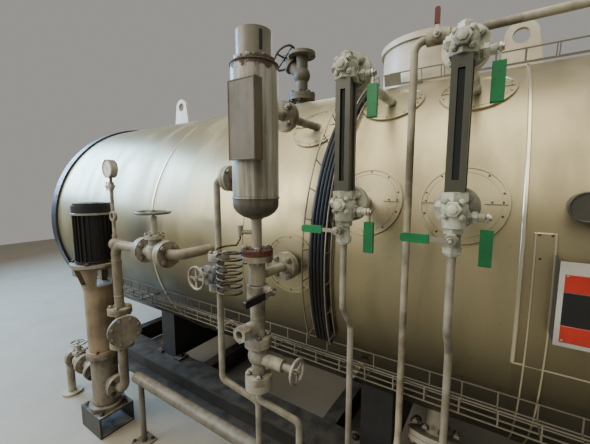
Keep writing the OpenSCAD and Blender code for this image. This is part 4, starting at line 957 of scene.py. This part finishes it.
class BOILER_OT_finishes(bpy.types.Operator):
    """Makes the finishes and puts them on the solids"""

    bl_idname = "boiler.finishes"
    bl_label = "Finishes"

    def execute(self, context):
        finishes(context.scene.boiler_shell)
        for finish, nodes in NODE_FINISH.items():
            for node in nodes.split():
                self.cover(node, MATERIALS[finish])
        for node, (sleeve, reach, direction, _, _) in LEVERS.items():
            self.cover(node, sleeve_mix(f"{node}_finish", sleeve, joint_of(node), reach, direction))
        return {"FINISHED"}

    def cover(self, node, material):
        """Gives a solid one material."""
        materials = frame["nodes"][node].data.materials
        materials.clear()
        materials.append(material)


class BOILER_OT_cladding(bpy.types.Operator):
    """Seam bands, the bead and lap of the right sheet, and the strip behind the name plate"""

    bl_idname = "boiler.cladding"
    bl_label = "Cladding"

    def execute(self, context):
        look = context.scene.boiler_shell
        bands = Surface("jacket_seam_bands", "sheet")
        # Painted highlight: the left seam, the bead, its laps and the strip's edges are paler than the sheet
        bright = Surface("jacket_bright_seams", "bright_seam", "sheet")
        strip = Surface("jacket_strip", "sheet")
        screws = Surface("jacket_strip_screws", "bolt_dark", "sheet")
        for x, width_share, lift_share in SEAMS:
            seam = bright if x == LEFT_SEAM_X else bands
            seam.put(*band_on_shell(x, look.band_width * width_share, look.band_lift * lift_share))
        bright.put(*band_on_shell(BEAD_X, BEAD_WIDTH, BEAD_LIFT, BEAD_FOOT, math.pi - BEAD_FOOT))
        along = np.linspace(BEAD_X, SHELL_HALF - RING_DEPTH, 12)
        for angle in (BEAD_FOOT, math.pi - BEAD_FOOT):
            bright.put(*tube(on_shell(along, angle, LAP_LIFT), LAP_R, 8))
        left, right = STRIP_X
        middle = (left + right) / 2
        top = math.asin((STRIP_TOP_Z - AXIS_Z) / SHELL_R)
        strip.put(*band_on_shell(middle, right - left, STRIP_LIFT, STRIP_FOOT, top, STRIP_STEPS))
        for x in STRIP_X:
            bright.put(*band_on_shell(x, *STRIP_EDGE, STRIP_FOOT, top, STRIP_STEPS))
        around = top - np.array(STRIP_SCREWS_DOWN)
        across = middle + np.array(STRIP_SCREWS_ACROSS)
        shell_screws(screws, across, around, STRIP_LIFT, STRIP_SCREW)
        return finished(bands, bright, strip, screws)


# Nozzle covers: the radius, the sheet's lift, the screws' circle and size, and their number
COVER_R = 0.126
COVER_LIFT = 0.0055
COVER_SCREW_R = COVER_R - 0.014
COVER_SCREW = 0.0036
COVER_SCREWS = 10
# Rings pressed into a cover: how far in from the rim each edge lies, and the ring's height
COVER_RINGS = (((0.0005, 0.0015, 0.0075, 0.0085), 0.0025), ((0.0200, 0.0205, 0.0225, 0.0230), 0.0012))
# The parting line at each side: its start and end from the middle, and the screws above it
PARTING = (0.060, COVER_R - 0.009)
PARTING_SCREWS = (0.078, 0.106)
PARTING_SCREW_RISE = 0.008
PARTING_LIFT = COVER_LIFT + 0.001
PARTING_R = 0.0012


class BOILER_OT_covers(bpy.types.Operator):
    """Rim rings, parting lines and screws on each nozzle cover"""

    bl_idname = "boiler.covers"
    bl_label = "Nozzle covers"

    def execute(self, context):
        rings = Surface("cover_rings", "cover_sheet", "cream_paint")
        screws = Surface("cover_screws", "bolt_dark", "cream_paint")
        lines = Surface("cover_lines", "bolt_dark", "cream_paint")
        spots = [(x, z) for x in GAUGE_X for z in (LOW_Z, HIGH_Z)]
        spots += [(CHAMBER_X, BRANCH_LOW_Z), (CHAMBER_X, BRANCH_HIGH_Z)]
        for x, z in spots:
            angle = math.asin((z - AXIS_Z) / SHELL_R)
            for insets, height in COVER_RINGS:
                heights = np.array([0, height, height, 0]) + COVER_LIFT
                rings.put(*patch_on_shell(x, angle, COVER_R - np.array(insets), heights))
            across, up = COVER_SCREW_R * unit_circle(COVER_SCREWS, 0.5).T
            shell_screws(screws, x + across, angle + up / SHELL_R, COVER_LIFT, COVER_SCREW)
            for side in (-1, 1):
                along = x + side * np.linspace(*PARTING, 6)
                lines.put(*tube(on_shell(along, angle, PARTING_LIFT), PARTING_R, 6))
                along = x + side * np.array(PARTING_SCREWS)
                shell_screws(screws, along, angle + PARTING_SCREW_RISE, COVER_LIFT, COVER_SCREW)
        return finished(rings, screws, lines)


class BOILER_OT_ends(bpy.types.Operator):
    """Screws round the end rings"""

    bl_idname = "boiler.ends"
    bl_label = "Shell ends"

    def execute(self, context):
        screws = Surface("end_screws", "bolt_dark", "end_paint")
        for side in (-1, 1):
            x = side * (SHELL_HALF - RING_SCREW_IN)
            shell_screws(screws, x, angles(RING_SCREWS, 0.5), RING_R - SHELL_R, RING_SCREW)
        return finished(screws)


# Clamp plates of the saddles: width, depth, height, and how far off the saddle and the beam's line
CLAMP = (0.062, 0.085, 0.014)
CLAMP_OFF_SADDLE = 0.032
CLAMP_OFF_BEAM = 0.045
# The drain header's posts: how far in from its ends, and half the pitch of their bolts
POSTS_IN = (0.040, 0.140)
POST_BOLT_OFF = 0.034
POST_FOOT_Z = 0.008
POST_BOLT = 0.005
# The plinth's bolts: how far in from its sides, its front and its rear
PLINTH_IN = (0.028, 0.028, 0.035)
PLINTH_BOLT = 0.007
CLAMP_BOLT = 0.009
CLAMP_GAP = 0.0003


class BOILER_OT_skid(bpy.types.Operator):
    """Foot clamps of the saddles and the bolts of the plinth and of the drain header's posts"""

    bl_idname = "boiler.skid"
    bl_label = "Skid"

    def execute(self, context):
        clamps = Surface("saddle_clamps", "saddle_paint")
        bolts = Surface("skid_bolts", "bolt_dark", "skid_paint")
        off_x = box_of("saddles")[1][0] - SADDLE_X + CLAMP_OFF_SADDLE
        off_y = abs(middle_of("front_beam")[1]) - CLAMP_OFF_BEAM
        top = box_of("front_beam")[1][2]
        xs = (-SADDLE_X - off_x, -SADDLE_X + off_x, SADDLE_X - off_x, SADDLE_X + off_x)
        places = lattice(xs, (-off_y, off_y), top + CLAMP_GAP)
        clamps.stamp(slab(*CLAMP), places, Z_AXIS, spin=math.pi / 2)
        bolts.stamp(BOLT, places + CLAMP[2] * Z_AXIS, Z_AXIS, CLAMP_BOLT)
        low, high = box_of("pump_plinth")
        side, front, rear = PLINTH_IN
        places = lattice((low[0] + side, high[0] - side), (low[1] + front, high[1] - rear), high[2])
        bolts.stamp(BOLT, places, Z_AXIS, PLINTH_BOLT)
        low, high = box_of("drain_header")
        xs = [x + dx for x in (low[0] + POSTS_IN[0], high[0] - POSTS_IN[1])
              for dx in (-POST_BOLT_OFF, POST_BOLT_OFF)]
        ys = middle_of("drain_header")[1] + np.array([-POST_BOLT_OFF, POST_BOLT_OFF])
        bolts.stamp(BOLT, lattice(xs, ys, POST_FOOT_Z), Z_AXIS, POST_BOLT)
        return finished(clamps, bolts)


class BOILER_OT_top_fittings(bpy.types.Operator):
    """Screws of the manway cover and bolts of the steam valve"""

    bl_idname = "boiler.top_fittings"
    bl_label = "Top fittings"

    def execute(self, context):
        screws = Surface("manway_screws", "bolt_steel", "cream_paint")
        bolts = Surface("steam_valve_bolts", "bolt_dark", "valve_brown")
        low, high = box_of("manway")
        centre = np.array([(low[0] + high[0]) / 2, 0, high[2]])
        screws_r = (high[0] - low[0]) / 2 - MANWAY_SCREWS_IN
        bolt_circle(screws, centre, Z_AXIS, screws_r, MANWAY_SCREWS, MANWAY_SCREW, SCREW)
        flange_bolts(bolts, [STEAM_X, 0, STEAM_BASE_Z], Z_AXIS, *STEAM_FLANGE)
        stem = np.array([-math.sqrt(0.5), 0, math.sqrt(0.5)])
        bonnet = np.array([STEAM_X, 0, STEAM_MIDDLE_Z]) + stem * STEAM_BONNET_OFF
        bolt_circle(bolts, bonnet, stem, *STEAM_BONNET)
        return finished(screws, bolts)


# Gland nuts of a cock: the place off the cock's middle, the direction and the radius across corners
COCK_NUTS = (
    ((0, -0.029, 0), -Y_AXIS, 0.021),
    ((-0.028, 0, 0.004), -X_AXIS, 0.018),
    ((LEVER_OFF - 0.034, 0.018, -0.022), X_AXIS, 0.0165),
    ((LEVER_OFF - 0.056, 0.018, -0.022), X_AXIS, 0.021),
)
# Nuts on a gauge's own line: how far in front of it, the height, the direction and the radius
GAUGE_NUTS = (
    (0, GAUGE_HIGH[2] + 0.001, Z_AXIS, 0.036),
    (0, GAUGE_LOW[2] - 0.001, -Z_AXIS, 0.036),
    (0, HIGH_Z + 0.030, Z_AXIS, 0.0185),
    (0, LOW_Z - 0.049, -Z_AXIS, 0.0255),
    (0, LOW_Z - 0.100, -Z_AXIS, 0.0245),
    (0.018, LOW_Z - 0.076, -Y_AXIS, 0.0165),
)
COCK_FACE = 0.027
PANE_WIDTH = 0.0156
PANE_MARGIN = 0.0604
PANE_DEPTH = 0.011
PANE_THICK = 0.004


class BOILER_OT_gauges(bpy.types.Operator):
    """Sight glass, gland nuts and flange bolts of the level gauges"""

    bl_idname = "boiler.gauges"
    bl_label = "Level gauges"

    def execute(self, context):
        glass = Surface("gauge_glasses", "glass", "gauge_dark")
        bolts = Surface("gauge_bolts", "cock_paint")
        nuts = Surface("gauge_gland_nuts", "cock_paint")
        pane = slab(PANE_WIDTH, GAUGE_HIGH[2] - GAUGE_LOW[2] - PANE_MARGIN, PANE_THICK)
        pane_z = (GAUGE_LOW[2] + GAUGE_HIGH[2]) / 2
        for x in GAUGE_X:
            glass.stamp(pane, [x, GAUGE_LOW[1] + PANE_DEPTH, pane_z], -Y_AXIS)
            for z in (LOW_Z, HIGH_Z):
                centre = np.array([x, GAUGE_Y, z])
                flange_bolts(bolts, [x, COCK_FLANGE_Y, z], Y_AXIS, *COCK_FLANGE)
                bolt_circle(nuts, centre - COCK_FACE * Y_AXIS, -Y_AXIS, *COCK_FACE_NUTS, GLAND)
                for off, direction, size in COCK_NUTS:
                    nuts.stamp(GLAND, centre + off, direction, size)
            for ahead, z, direction, size in GAUGE_NUTS:
                nuts.stamp(GLAND, [x, GAUGE_Y - ahead, z], direction, size)
        return finished(glass, bolts, nuts)


class BOILER_OT_levers(bpy.types.Operator):
    """Nut on the spindle of each lever, riding with it"""

    bl_idname = "boiler.levers"
    bl_label = "Lever nuts"

    def execute(self, context):
        for node, (_, _, _, outward, seat) in LEVERS.items():
            radius, top, hole = VENT_NUT if node == "vent_lever" else LEVER_NUT
            height = radius * 0.7
            ring = [(radius, 0), (radius, radius * 0.6), (top, height), (hole, height), (hole, 0)]
            nut = Surface(f"{node}_nut", "bolt_steel", node_slot(node), node)
            nut.stamp(turned(ring, 6, closed=True), joint_of(node) + outward * seat, outward)
            nut.make()
        return {"FINISHED"}


# Flanges of the chamber and the sample valve: the place off the chamber's axis and floor, and which
SAMPLE_OFF = SAMPLE_X - CHAMBER_X
CHAMBER_FLANGES = (
    ((0, 0.173, BRANCH_LOW_Z), Y_AXIS, BRANCH_FLANGE),
    ((0, 0.173, BRANCH_HIGH_Z), Y_AXIS, BRANCH_FLANGE),
    ((0, 0, PAIR_Z), Z_AXIS, FOOT_FLANGE),
    ((0, 0, DRAIN_HIGH[2]), Z_AXIS, DRAIN_TOP_FLANGE),
    ((0, 0, DRAIN_LOW[2]), Z_AXIS, DRAIN_FOOT_FLANGE),
    ((-CHAMBER_R - 0.044, 0, AXIS_Z + 0.338), X_AXIS, SIDE_FLANGE),
    ((SAMPLE_OFF, 0, SAMPLE_HIGH[2]), Z_AXIS, SAMPLE_FLANGE),
    ((SAMPLE_OFF, 0, SAMPLE_LOW[2]), Z_AXIS, SAMPLE_FLANGE),
)
# Welds round the chamber's axis: the height, the radius, half the bead's width and its lumps
CHAMBER_WELDS = (
    (CHAMBER_LOW_Z - 0.002, CHAMBER_R, 0.0032, 36),
    (CHAMBER_TOP_Z - 0.004, CHAMBER_R, 0.003, 36),
    (CHAMBER_LOW_Z - 0.074, 0.020, 0.004, 20),
)
SAMPLE_BONNET_OFF = 0.068
CAP_FLANGE_LIFT = 0.014
SIGN_RIM_IN = 0.003
SIGN_RIM_R = 0.0022
# The dark slot in the cap: the direction that it looks in, how far its middle is below the top,
# how far it is sunk, and its width, depth, height and broken edge
SLOT_TOWARD = np.array([0.877, -0.481, 0.0])
SLOT_DROP = 0.041
SLOT_IN = 0.0012
SLOT = (0.011, 0.060, 0.0030, 0.0006)


class BOILER_OT_chamber(bpy.types.Operator):
    """Weld beads, flange bolts, the cap's slot and the sign plate's folded rim"""

    bl_idname = "boiler.chamber"
    bl_label = "Level chamber"

    def execute(self, context):
        welds = Surface("chamber_welds", "chamber_paint")
        bolts = Surface("chamber_bolts", "bolt_steel", "valve_grey")
        rim = Surface("sign_plate_rim", "sign_paint", "plate")
        slot = Surface("cap_slot", "motor_black", "cap_grey")
        axis_place = np.array([CHAMBER_X, CHAMBER_Y, 0.0])
        for z, radius, width, lumps in CHAMBER_WELDS:
            welds.stamp(weld_ring(radius, width, lumps), axis_place + z * Z_AXIS, Z_AXIS)
        for off, axis, flange in CHAMBER_FLANGES:
            flange_bolts(bolts, axis_place + off, axis, *flange)
        bonnet = np.array([SAMPLE_X, CHAMBER_Y - SAMPLE_BONNET_OFF, middle_of("sample_valve_body")[2]])
        bolt_circle(bolts, bonnet, -Y_AXIS, *SAMPLE_BONNET)
        bolt_circle(bolts, axis_place + (CAP_LOW[2] + CAP_FLANGE_LIFT) * Z_AXIS, Z_AXIS, *CAP_BOLTS)
        rim.put(*self.folded_rim())
        # Painted shade: a black strip stands for the dark inside of the cap's slot
        slot_middle = axis_place + SLOT_TOWARD * (CAP_R - SLOT_IN) + [0, 0, CAP_HIGH[2] - SLOT_DROP]
        slot.stamp(slab(*SLOT), slot_middle, SLOT_TOWARD)
        return finished(welds, bolts, rim, slot)

    def folded_rim(self):
        """Tube round the sign plate's face, eight even steps a side."""
        low, high = box_of("sign_plate")
        left, foot, right, top = low[0], low[2], high[0], high[2]
        corners = np.array([[left, foot], [right, foot], [right, top], [left, top]])
        corners += np.array([[1, 1], [-1, 1], [-1, -1], [1, -1]]) * SIGN_RIM_IN
        share = np.linspace(0, 1, 8, endpoint=False)[:, None]
        after = np.roll(corners, -1, axis=0)
        path = np.vstack([a + (b - a) * share for a, b in zip(corners, after)])
        path = np.insert(path, 1, low[1], axis=1)
        return tube(path, SIGN_RIM_R, 6, closed=True, reference=Y_AXIS)


# The motor's bright rings: profiles of radius and height
MOTOR_STRIPE = ((0.1045, 0), (0.1060, 0.001), (0.1060, 0.011), (0.1045, 0.012))
MOTOR_STRIPE_DROP = 0.066
MOTOR_RING = ((0.1325, 0), (0.1330, -0.002), (0.1330, -0.014), (0.1325, -0.016), (0.128, -0.008))
# The wires of the fan's guard: each ring's radius and the wire's own
GUARD_RINGS = (0.030, 0.046, 0.062, 0.078)
GUARD_WIRE = 0.0022
GUARD_DROP = 0.001
MOTOR_SIDES = 48
GUARD_SIDES = 40
# The terminal box's lid: its width, depth and height, its rise over the motor's foot, how far it
# is sunk, and its screws' places to both sides and up and down
LID = (0.084, 0.074, 0.004)
LID_RISE = 0.062
LID_IN = 0.0008
LID_SCREWS = ((-0.032, 0.032), (-0.037, 0.037))
LID_SCREW = 0.004
LID_SCREW_IN = 0.0006
LANTERN_Z = 0.498


class BOILER_OT_pump(bpy.types.Operator):
    """Motor rings, the fan's guard, the terminal box's lid and the bolts of the feed pump"""

    bl_idname = "boiler.pump"
    bl_label = "Feed pump"

    def execute(self, context):
        trim = Surface("pump_trim", "plate", "pump_cast")
        bolts = Surface("pump_bolts", "bolt_dark", "pump_cast")
        dark = Surface("pump_dark_rings", "motor_black")
        axis_place = np.array([PUMP_X, PUMP_Y, 0.0])
        motor_foot = axis_place + MOTOR_LOW[2] * Z_AXIS
        motor_top = axis_place + MOTOR_HIGH[2] * Z_AXIS
        stripe_foot = motor_top - MOTOR_STRIPE_DROP * Z_AXIS
        trim.stamp(turned(MOTOR_STRIPE, MOTOR_SIDES, closed=True), stripe_foot, Z_AXIS)
        trim.stamp(turned(MOTOR_RING, MOTOR_SIDES, closed=True), motor_foot, Z_AXIS)
        bolt_circle(bolts, motor_foot, Z_AXIS, *MOTOR_BOLTS)
        for radius in GUARD_RINGS:
            wire = GUARD_WIRE * unit_circle(6) + [radius, 0]
            dark.stamp(turned(wire, GUARD_SIDES, closed=True), motor_top - GUARD_DROP * Z_AXIS, Z_AXIS)
        lid = np.array([MOTOR_LOW[0] + LID_IN, PUMP_Y, MOTOR_LOW[2] + LID_RISE])
        dark.stamp(slab(*LID), lid + LID[2] * X_AXIS, -X_AXIS)
        bolts.stamp(SCREW, lid + lattice(LID_SCREW_IN, *LID_SCREWS), -X_AXIS, LID_SCREW)
        end_flanges(bolts, axis_place + PORT_Z * Z_AXIS, X_AXIS, PORT_OFF, PORT_FLANGE)
        bolt_circle(bolts, axis_place + LANTERN_Z * Z_AXIS, Z_AXIS, *LANTERN_BOLTS)
        return finished(trim, bolts, dark)


# Flanged valves of the lines: the middle, the axis, how far out each flange is, and which, then
# the bolted cover: its direction, how far out it is, and which
CHECK_TOWARD = np.array([0.966, -0.259, 0.0])
LINE_VALVES = (
    ((FEED_VALVE_X, PUMP_Y, FEED_Z), X_AXIS, 0.0875, FEED_FLANGE, Z_AXIS, 0.084, FEED_BONNET),
    ((SUCTION_X, PUMP_Y, PORT_Z), X_AXIS, 0.070, SUCTION_FLANGE, Z_AXIS, 0.070, SUCTION_COVER),
    ((DELIVERY_X, PUMP_Y, CHECK_Z), Z_AXIS, 0.096, CHECK_FLANGE, CHECK_TOWARD, 0.090, CHECK_COVER),
)
# Welds of the delivery pipe: the radius, half the bead's width and its lumps, and the heights
DELIVERY_WELD = (0.0242, 0.0022, 24)
DELIVERY_WELDS_Z = (CHECK_Z + 0.180, PORT_Z + 0.110, FEED_Z - 0.090)
BLOWDOWN_TILT = math.radians(27)
BLOWDOWN_OFF = 0.1135
DIAL_R = 0.0428
DIAL_THICK = 0.001
DIAL_AHEAD = 0.0142
NEEDLE_ANGLE = 2.2
# How far the needle's two sides stand in front of the dial
NEEDLE_AHEAD = (0.0014, 0.0022)
# The needle's outline: along it and across it
NEEDLE = ((-0.010, -0.0012), (0.030, -0.0004), (0.030, 0.0004), (-0.010, 0.0012))


class BOILER_OT_feed(bpy.types.Operator):
    """Bolts of the feed and suction flanges, the check valve's cover and the dial"""

    bl_idname = "boiler.feed"
    bl_label = "Feed line"

    def execute(self, context):
        bolts = Surface("feed_bolts", "bolt_steel", "pipe_paint")
        welds = Surface("feed_welds", "pipe_rust")
        dial = Surface("gauge_dial_face", "dial", "valve_grey")
        needle = Surface("gauge_needle", "panel_black", "valve_grey")
        for middle, axis, reach, flange, facing, cover_off, cover in LINE_VALVES:
            end_flanges(bolts, middle, axis, reach, flange)
            bolt_circle(bolts, middle + facing * cover_off, facing, *cover)
        for z in DELIVERY_WELDS_Z:
            welds.stamp(weld_ring(*DELIVERY_WELD), [DELIVERY_X, PUMP_Y, z], Z_AXIS)
        tilt = np.array([0.0, -math.sin(BLOWDOWN_TILT), -math.cos(BLOWDOWN_TILT)])
        flange = np.array([middle_of("blowdown_flange")[0], 0, AXIS_Z]) + tilt * (SHELL_R + BLOWDOWN_OFF)
        flange_bolts(bolts, flange, tilt, *BLOWDOWN_FLANGE)
        face = np.array([DELIVERY_X, PUMP_Y - DIAL_AHEAD, DIAL_Z])
        dial.stamp(turned([(DIAL_R, 0), (DIAL_R, DIAL_THICK)], 40), face, -Y_AXIS)
        along = np.array([math.cos(NEEDLE_ANGLE), 0, math.sin(NEEDLE_ANGLE)])
        across = np.array([-along[2], 0, along[0]])
        flat = face + np.array(NEEDLE) @ [along, across]
        sides = [[0, 1, 5, 4], [1, 2, 6, 5], [2, 3, 7, 6], [3, 0, 4, 7]]
        layers = np.vstack([flat - ahead * Y_AXIS for ahead in NEEDLE_AHEAD])
        needle.put(layers, [[3, 2, 1, 0], [4, 5, 6, 7], *sides])
        return finished(bolts, welds, dial, needle)


# The name panel's blocks: the piece and its top and foot as shares of the plate's height
PANEL_BLOCKS = ((0, 0.146, 0.353), (1, 0.355, 0.749), (0, 0.751, 0.950))
PANEL_MARGIN = 0.022
PANEL_DEPTH = 0.0012
RIVET_IN = 0.017
RIVET_SHARES = (-0.43, 0.33)
RIVET = 0.0032
# The hand hole's rim: the radius of its round ends and half of its straight part
HAND_RIM_R = 0.036
HAND_RIM_HALF = 0.028
HAND_RIM_WIRE = 0.003
HAND_BOLT = 0.009


class BOILER_OT_plates(bpy.types.Operator):
    """Blank three-part panel on the name plate and the hand hole's rim"""

    bl_idname = "boiler.plates"
    bl_label = "Plates"

    def execute(self, context):
        red = Surface("name_panel_ends", "panel_red", "plate")
        black = Surface("name_panel_middle", "panel_black", "plate")
        rivets = Surface("name_plate_rivets", "bolt_steel", "plate")
        rim = Surface("hand_hole_rim", "black_cast")
        low, high = box_of("name_plate")
        width, _, height = high - low
        centre = front_of("name_plate")
        for index, above, below in PANEL_BLOCKS:
            block = slab(width - PANEL_MARGIN, height * (below - above), PANEL_DEPTH)
            middle = centre + height * (0.5 - (above + below) / 2) * Z_AXIS
            (red, black)[index].stamp(block, middle, -Y_AXIS)
        half = width / 2 - RIVET_IN
        spots = lattice((-half, half), -PANEL_DEPTH, height * np.array(RIVET_SHARES))
        rivets.stamp(SCREW, centre + spots, -Y_AXIS, RIVET)
        hand = front_of("hand_hole")
        cos, sin = unit_circle(60).T
        stretch = HAND_RIM_HALF * np.sign(cos)
        path = hand + np.stack([HAND_RIM_R * cos + stretch, 0 * cos, HAND_RIM_R * sin], axis=1)
        rim.put(*tube(path, HAND_RIM_WIRE, 8, closed=True, reference=Y_AXIS))
        rim.stamp(BOLT, hand, -Y_AXIS, HAND_BOLT)
        return finished(red, black, rivets, rim)


# Lamps: the place, the point that each looks at, its size and its tint; the look holds the powers
COOL = (0.38, 0.64, 1.0)
WARM = (1.0, 0.93, 0.78)
LAMPS = {
    "ceiling": ((0.3, -1.8, 4.7), (0.3, -0.3, 1.2), 4.2, WARM),
    "window": ((-5.0, -1.5, 3.2), (-1.1, -0.4, 1.5), 2.4, COOL),
    "fill": ((-2.6, -4.6, 3.6), (0.2, -0.6, 1.4), 3.0, WARM),
    "rear": ((-1.5, 4.5, 3.8), (0, 0, 1.4), 3.0, WARM),
}
SKY_TINT = (0.94, 0.91, 0.84, 1.0)
FLOOR_HALF = 9.0


class BOILER_OT_stage(bpy.types.Operator):
    """Pale floor, soft light and the camera"""

    bl_idname = "boiler.stage"
    bl_label = "Stage"

    def execute(self, context):
        look = context.scene.boiler_scene
        self.floor()
        self.sky(look)
        for name, row in LAMPS.items():
            self.lamp(f"{name}_light", getattr(look, f"{name}_power"), *row)
        self.camera(look)
        return {"FINISHED"}

    def floor(self):
        steps = 3
        side = np.linspace(-FLOOR_HALF, FLOOR_HALF, steps)
        mesh = bpy.data.meshes.new("floor")
        mesh.from_pydata(lattice(side, side, 0.0).tolist(), [], grid_quads(steps, steps)[:, ::-1].tolist())
        mesh.materials.append(floor_material())
        floor = linked("floor", mesh)

    def sky(self, look):
        world = bpy.data.worlds.new("soft_sky")
        world.use_nodes = True
        bpy.context.scene.world = world
        background = world.node_tree.nodes["Background"]
        background.inputs["Color"].default_value = SKY_TINT
        background.inputs["Strength"].default_value = look.sky_strength

    def lamp(self, name, power, place, target, size, tint):
        data = bpy.data.lights.new(name, "AREA")
        data.energy = power
        data.shape = "SQUARE"
        data.size = size
        data.color = tint
        lamp = linked(name, data)
        lamp.location = place
        lamp.rotation_euler = (Vector(target) - Vector(place)).to_track_quat("-Z", "Y").to_euler()

    def camera(self, look):
        data = bpy.data.cameras.new("camera")
        data.sensor_fit = "HORIZONTAL"
        data.sensor_width = 36.0
        data.lens = look.focal_share * data.sensor_width
        data.clip_start = 0.05
        camera = linked("camera", data)
        camera.location = look.camera_place
        camera.rotation_euler = (math.pi / 2 - look.camera_dip, 0, look.camera_turn)
        bpy.context.scene.camera = camera


OPERATORS = [
    BOILER_OT_finishes, BOILER_OT_cladding, BOILER_OT_covers, BOILER_OT_ends, BOILER_OT_skid,
    BOILER_OT_top_fittings, BOILER_OT_gauges, BOILER_OT_levers, BOILER_OT_chamber, BOILER_OT_pump,
    BOILER_OT_feed, BOILER_OT_plates, BOILER_OT_stage,
]


class BOILER_PT_panel(bpy.types.Panel):
    """Lists the boiler's pieces and looks"""

    bl_idname = "BOILER_PT_panel"
    bl_label = "Boiler"
    bl_space_type = "VIEW_3D"
    bl_region_type = "UI"
    bl_category = "Boiler"

    def draw(self, context):
        for operator in OPERATORS:
            self.layout.operator(operator.bl_idname)
        for settings in (context.scene.boiler_shell, context.scene.boiler_scene):
            for name in settings.bl_rna.properties.keys():
                if name not in ("rna_type", "name"):
                    self.layout.prop(settings, name)


CLASSES = [BoilerShellLook, BoilerSceneLook, *OPERATORS, BOILER_PT_panel]


def register():
    for cls in CLASSES:
        bpy.utils.register_class(cls)
    bpy.types.Scene.boiler_shell = bpy.props.PointerProperty(type=BoilerShellLook)
    bpy.types.Scene.boiler_scene = bpy.props.PointerProperty(type=BoilerSceneLook)


def unregister():
    del bpy.types.Scene.boiler_scene
    del bpy.types.Scene.boiler_shell
    for cls in reversed(CLASSES):
        bpy.utils.unregister_class(cls)


def main():
    register()
    for operator in OPERATORS:
        group_name, call = operator.bl_idname.split(".")
        getattr(getattr(bpy.ops, group_name), call)()


if __name__ == "__main__":
    main()
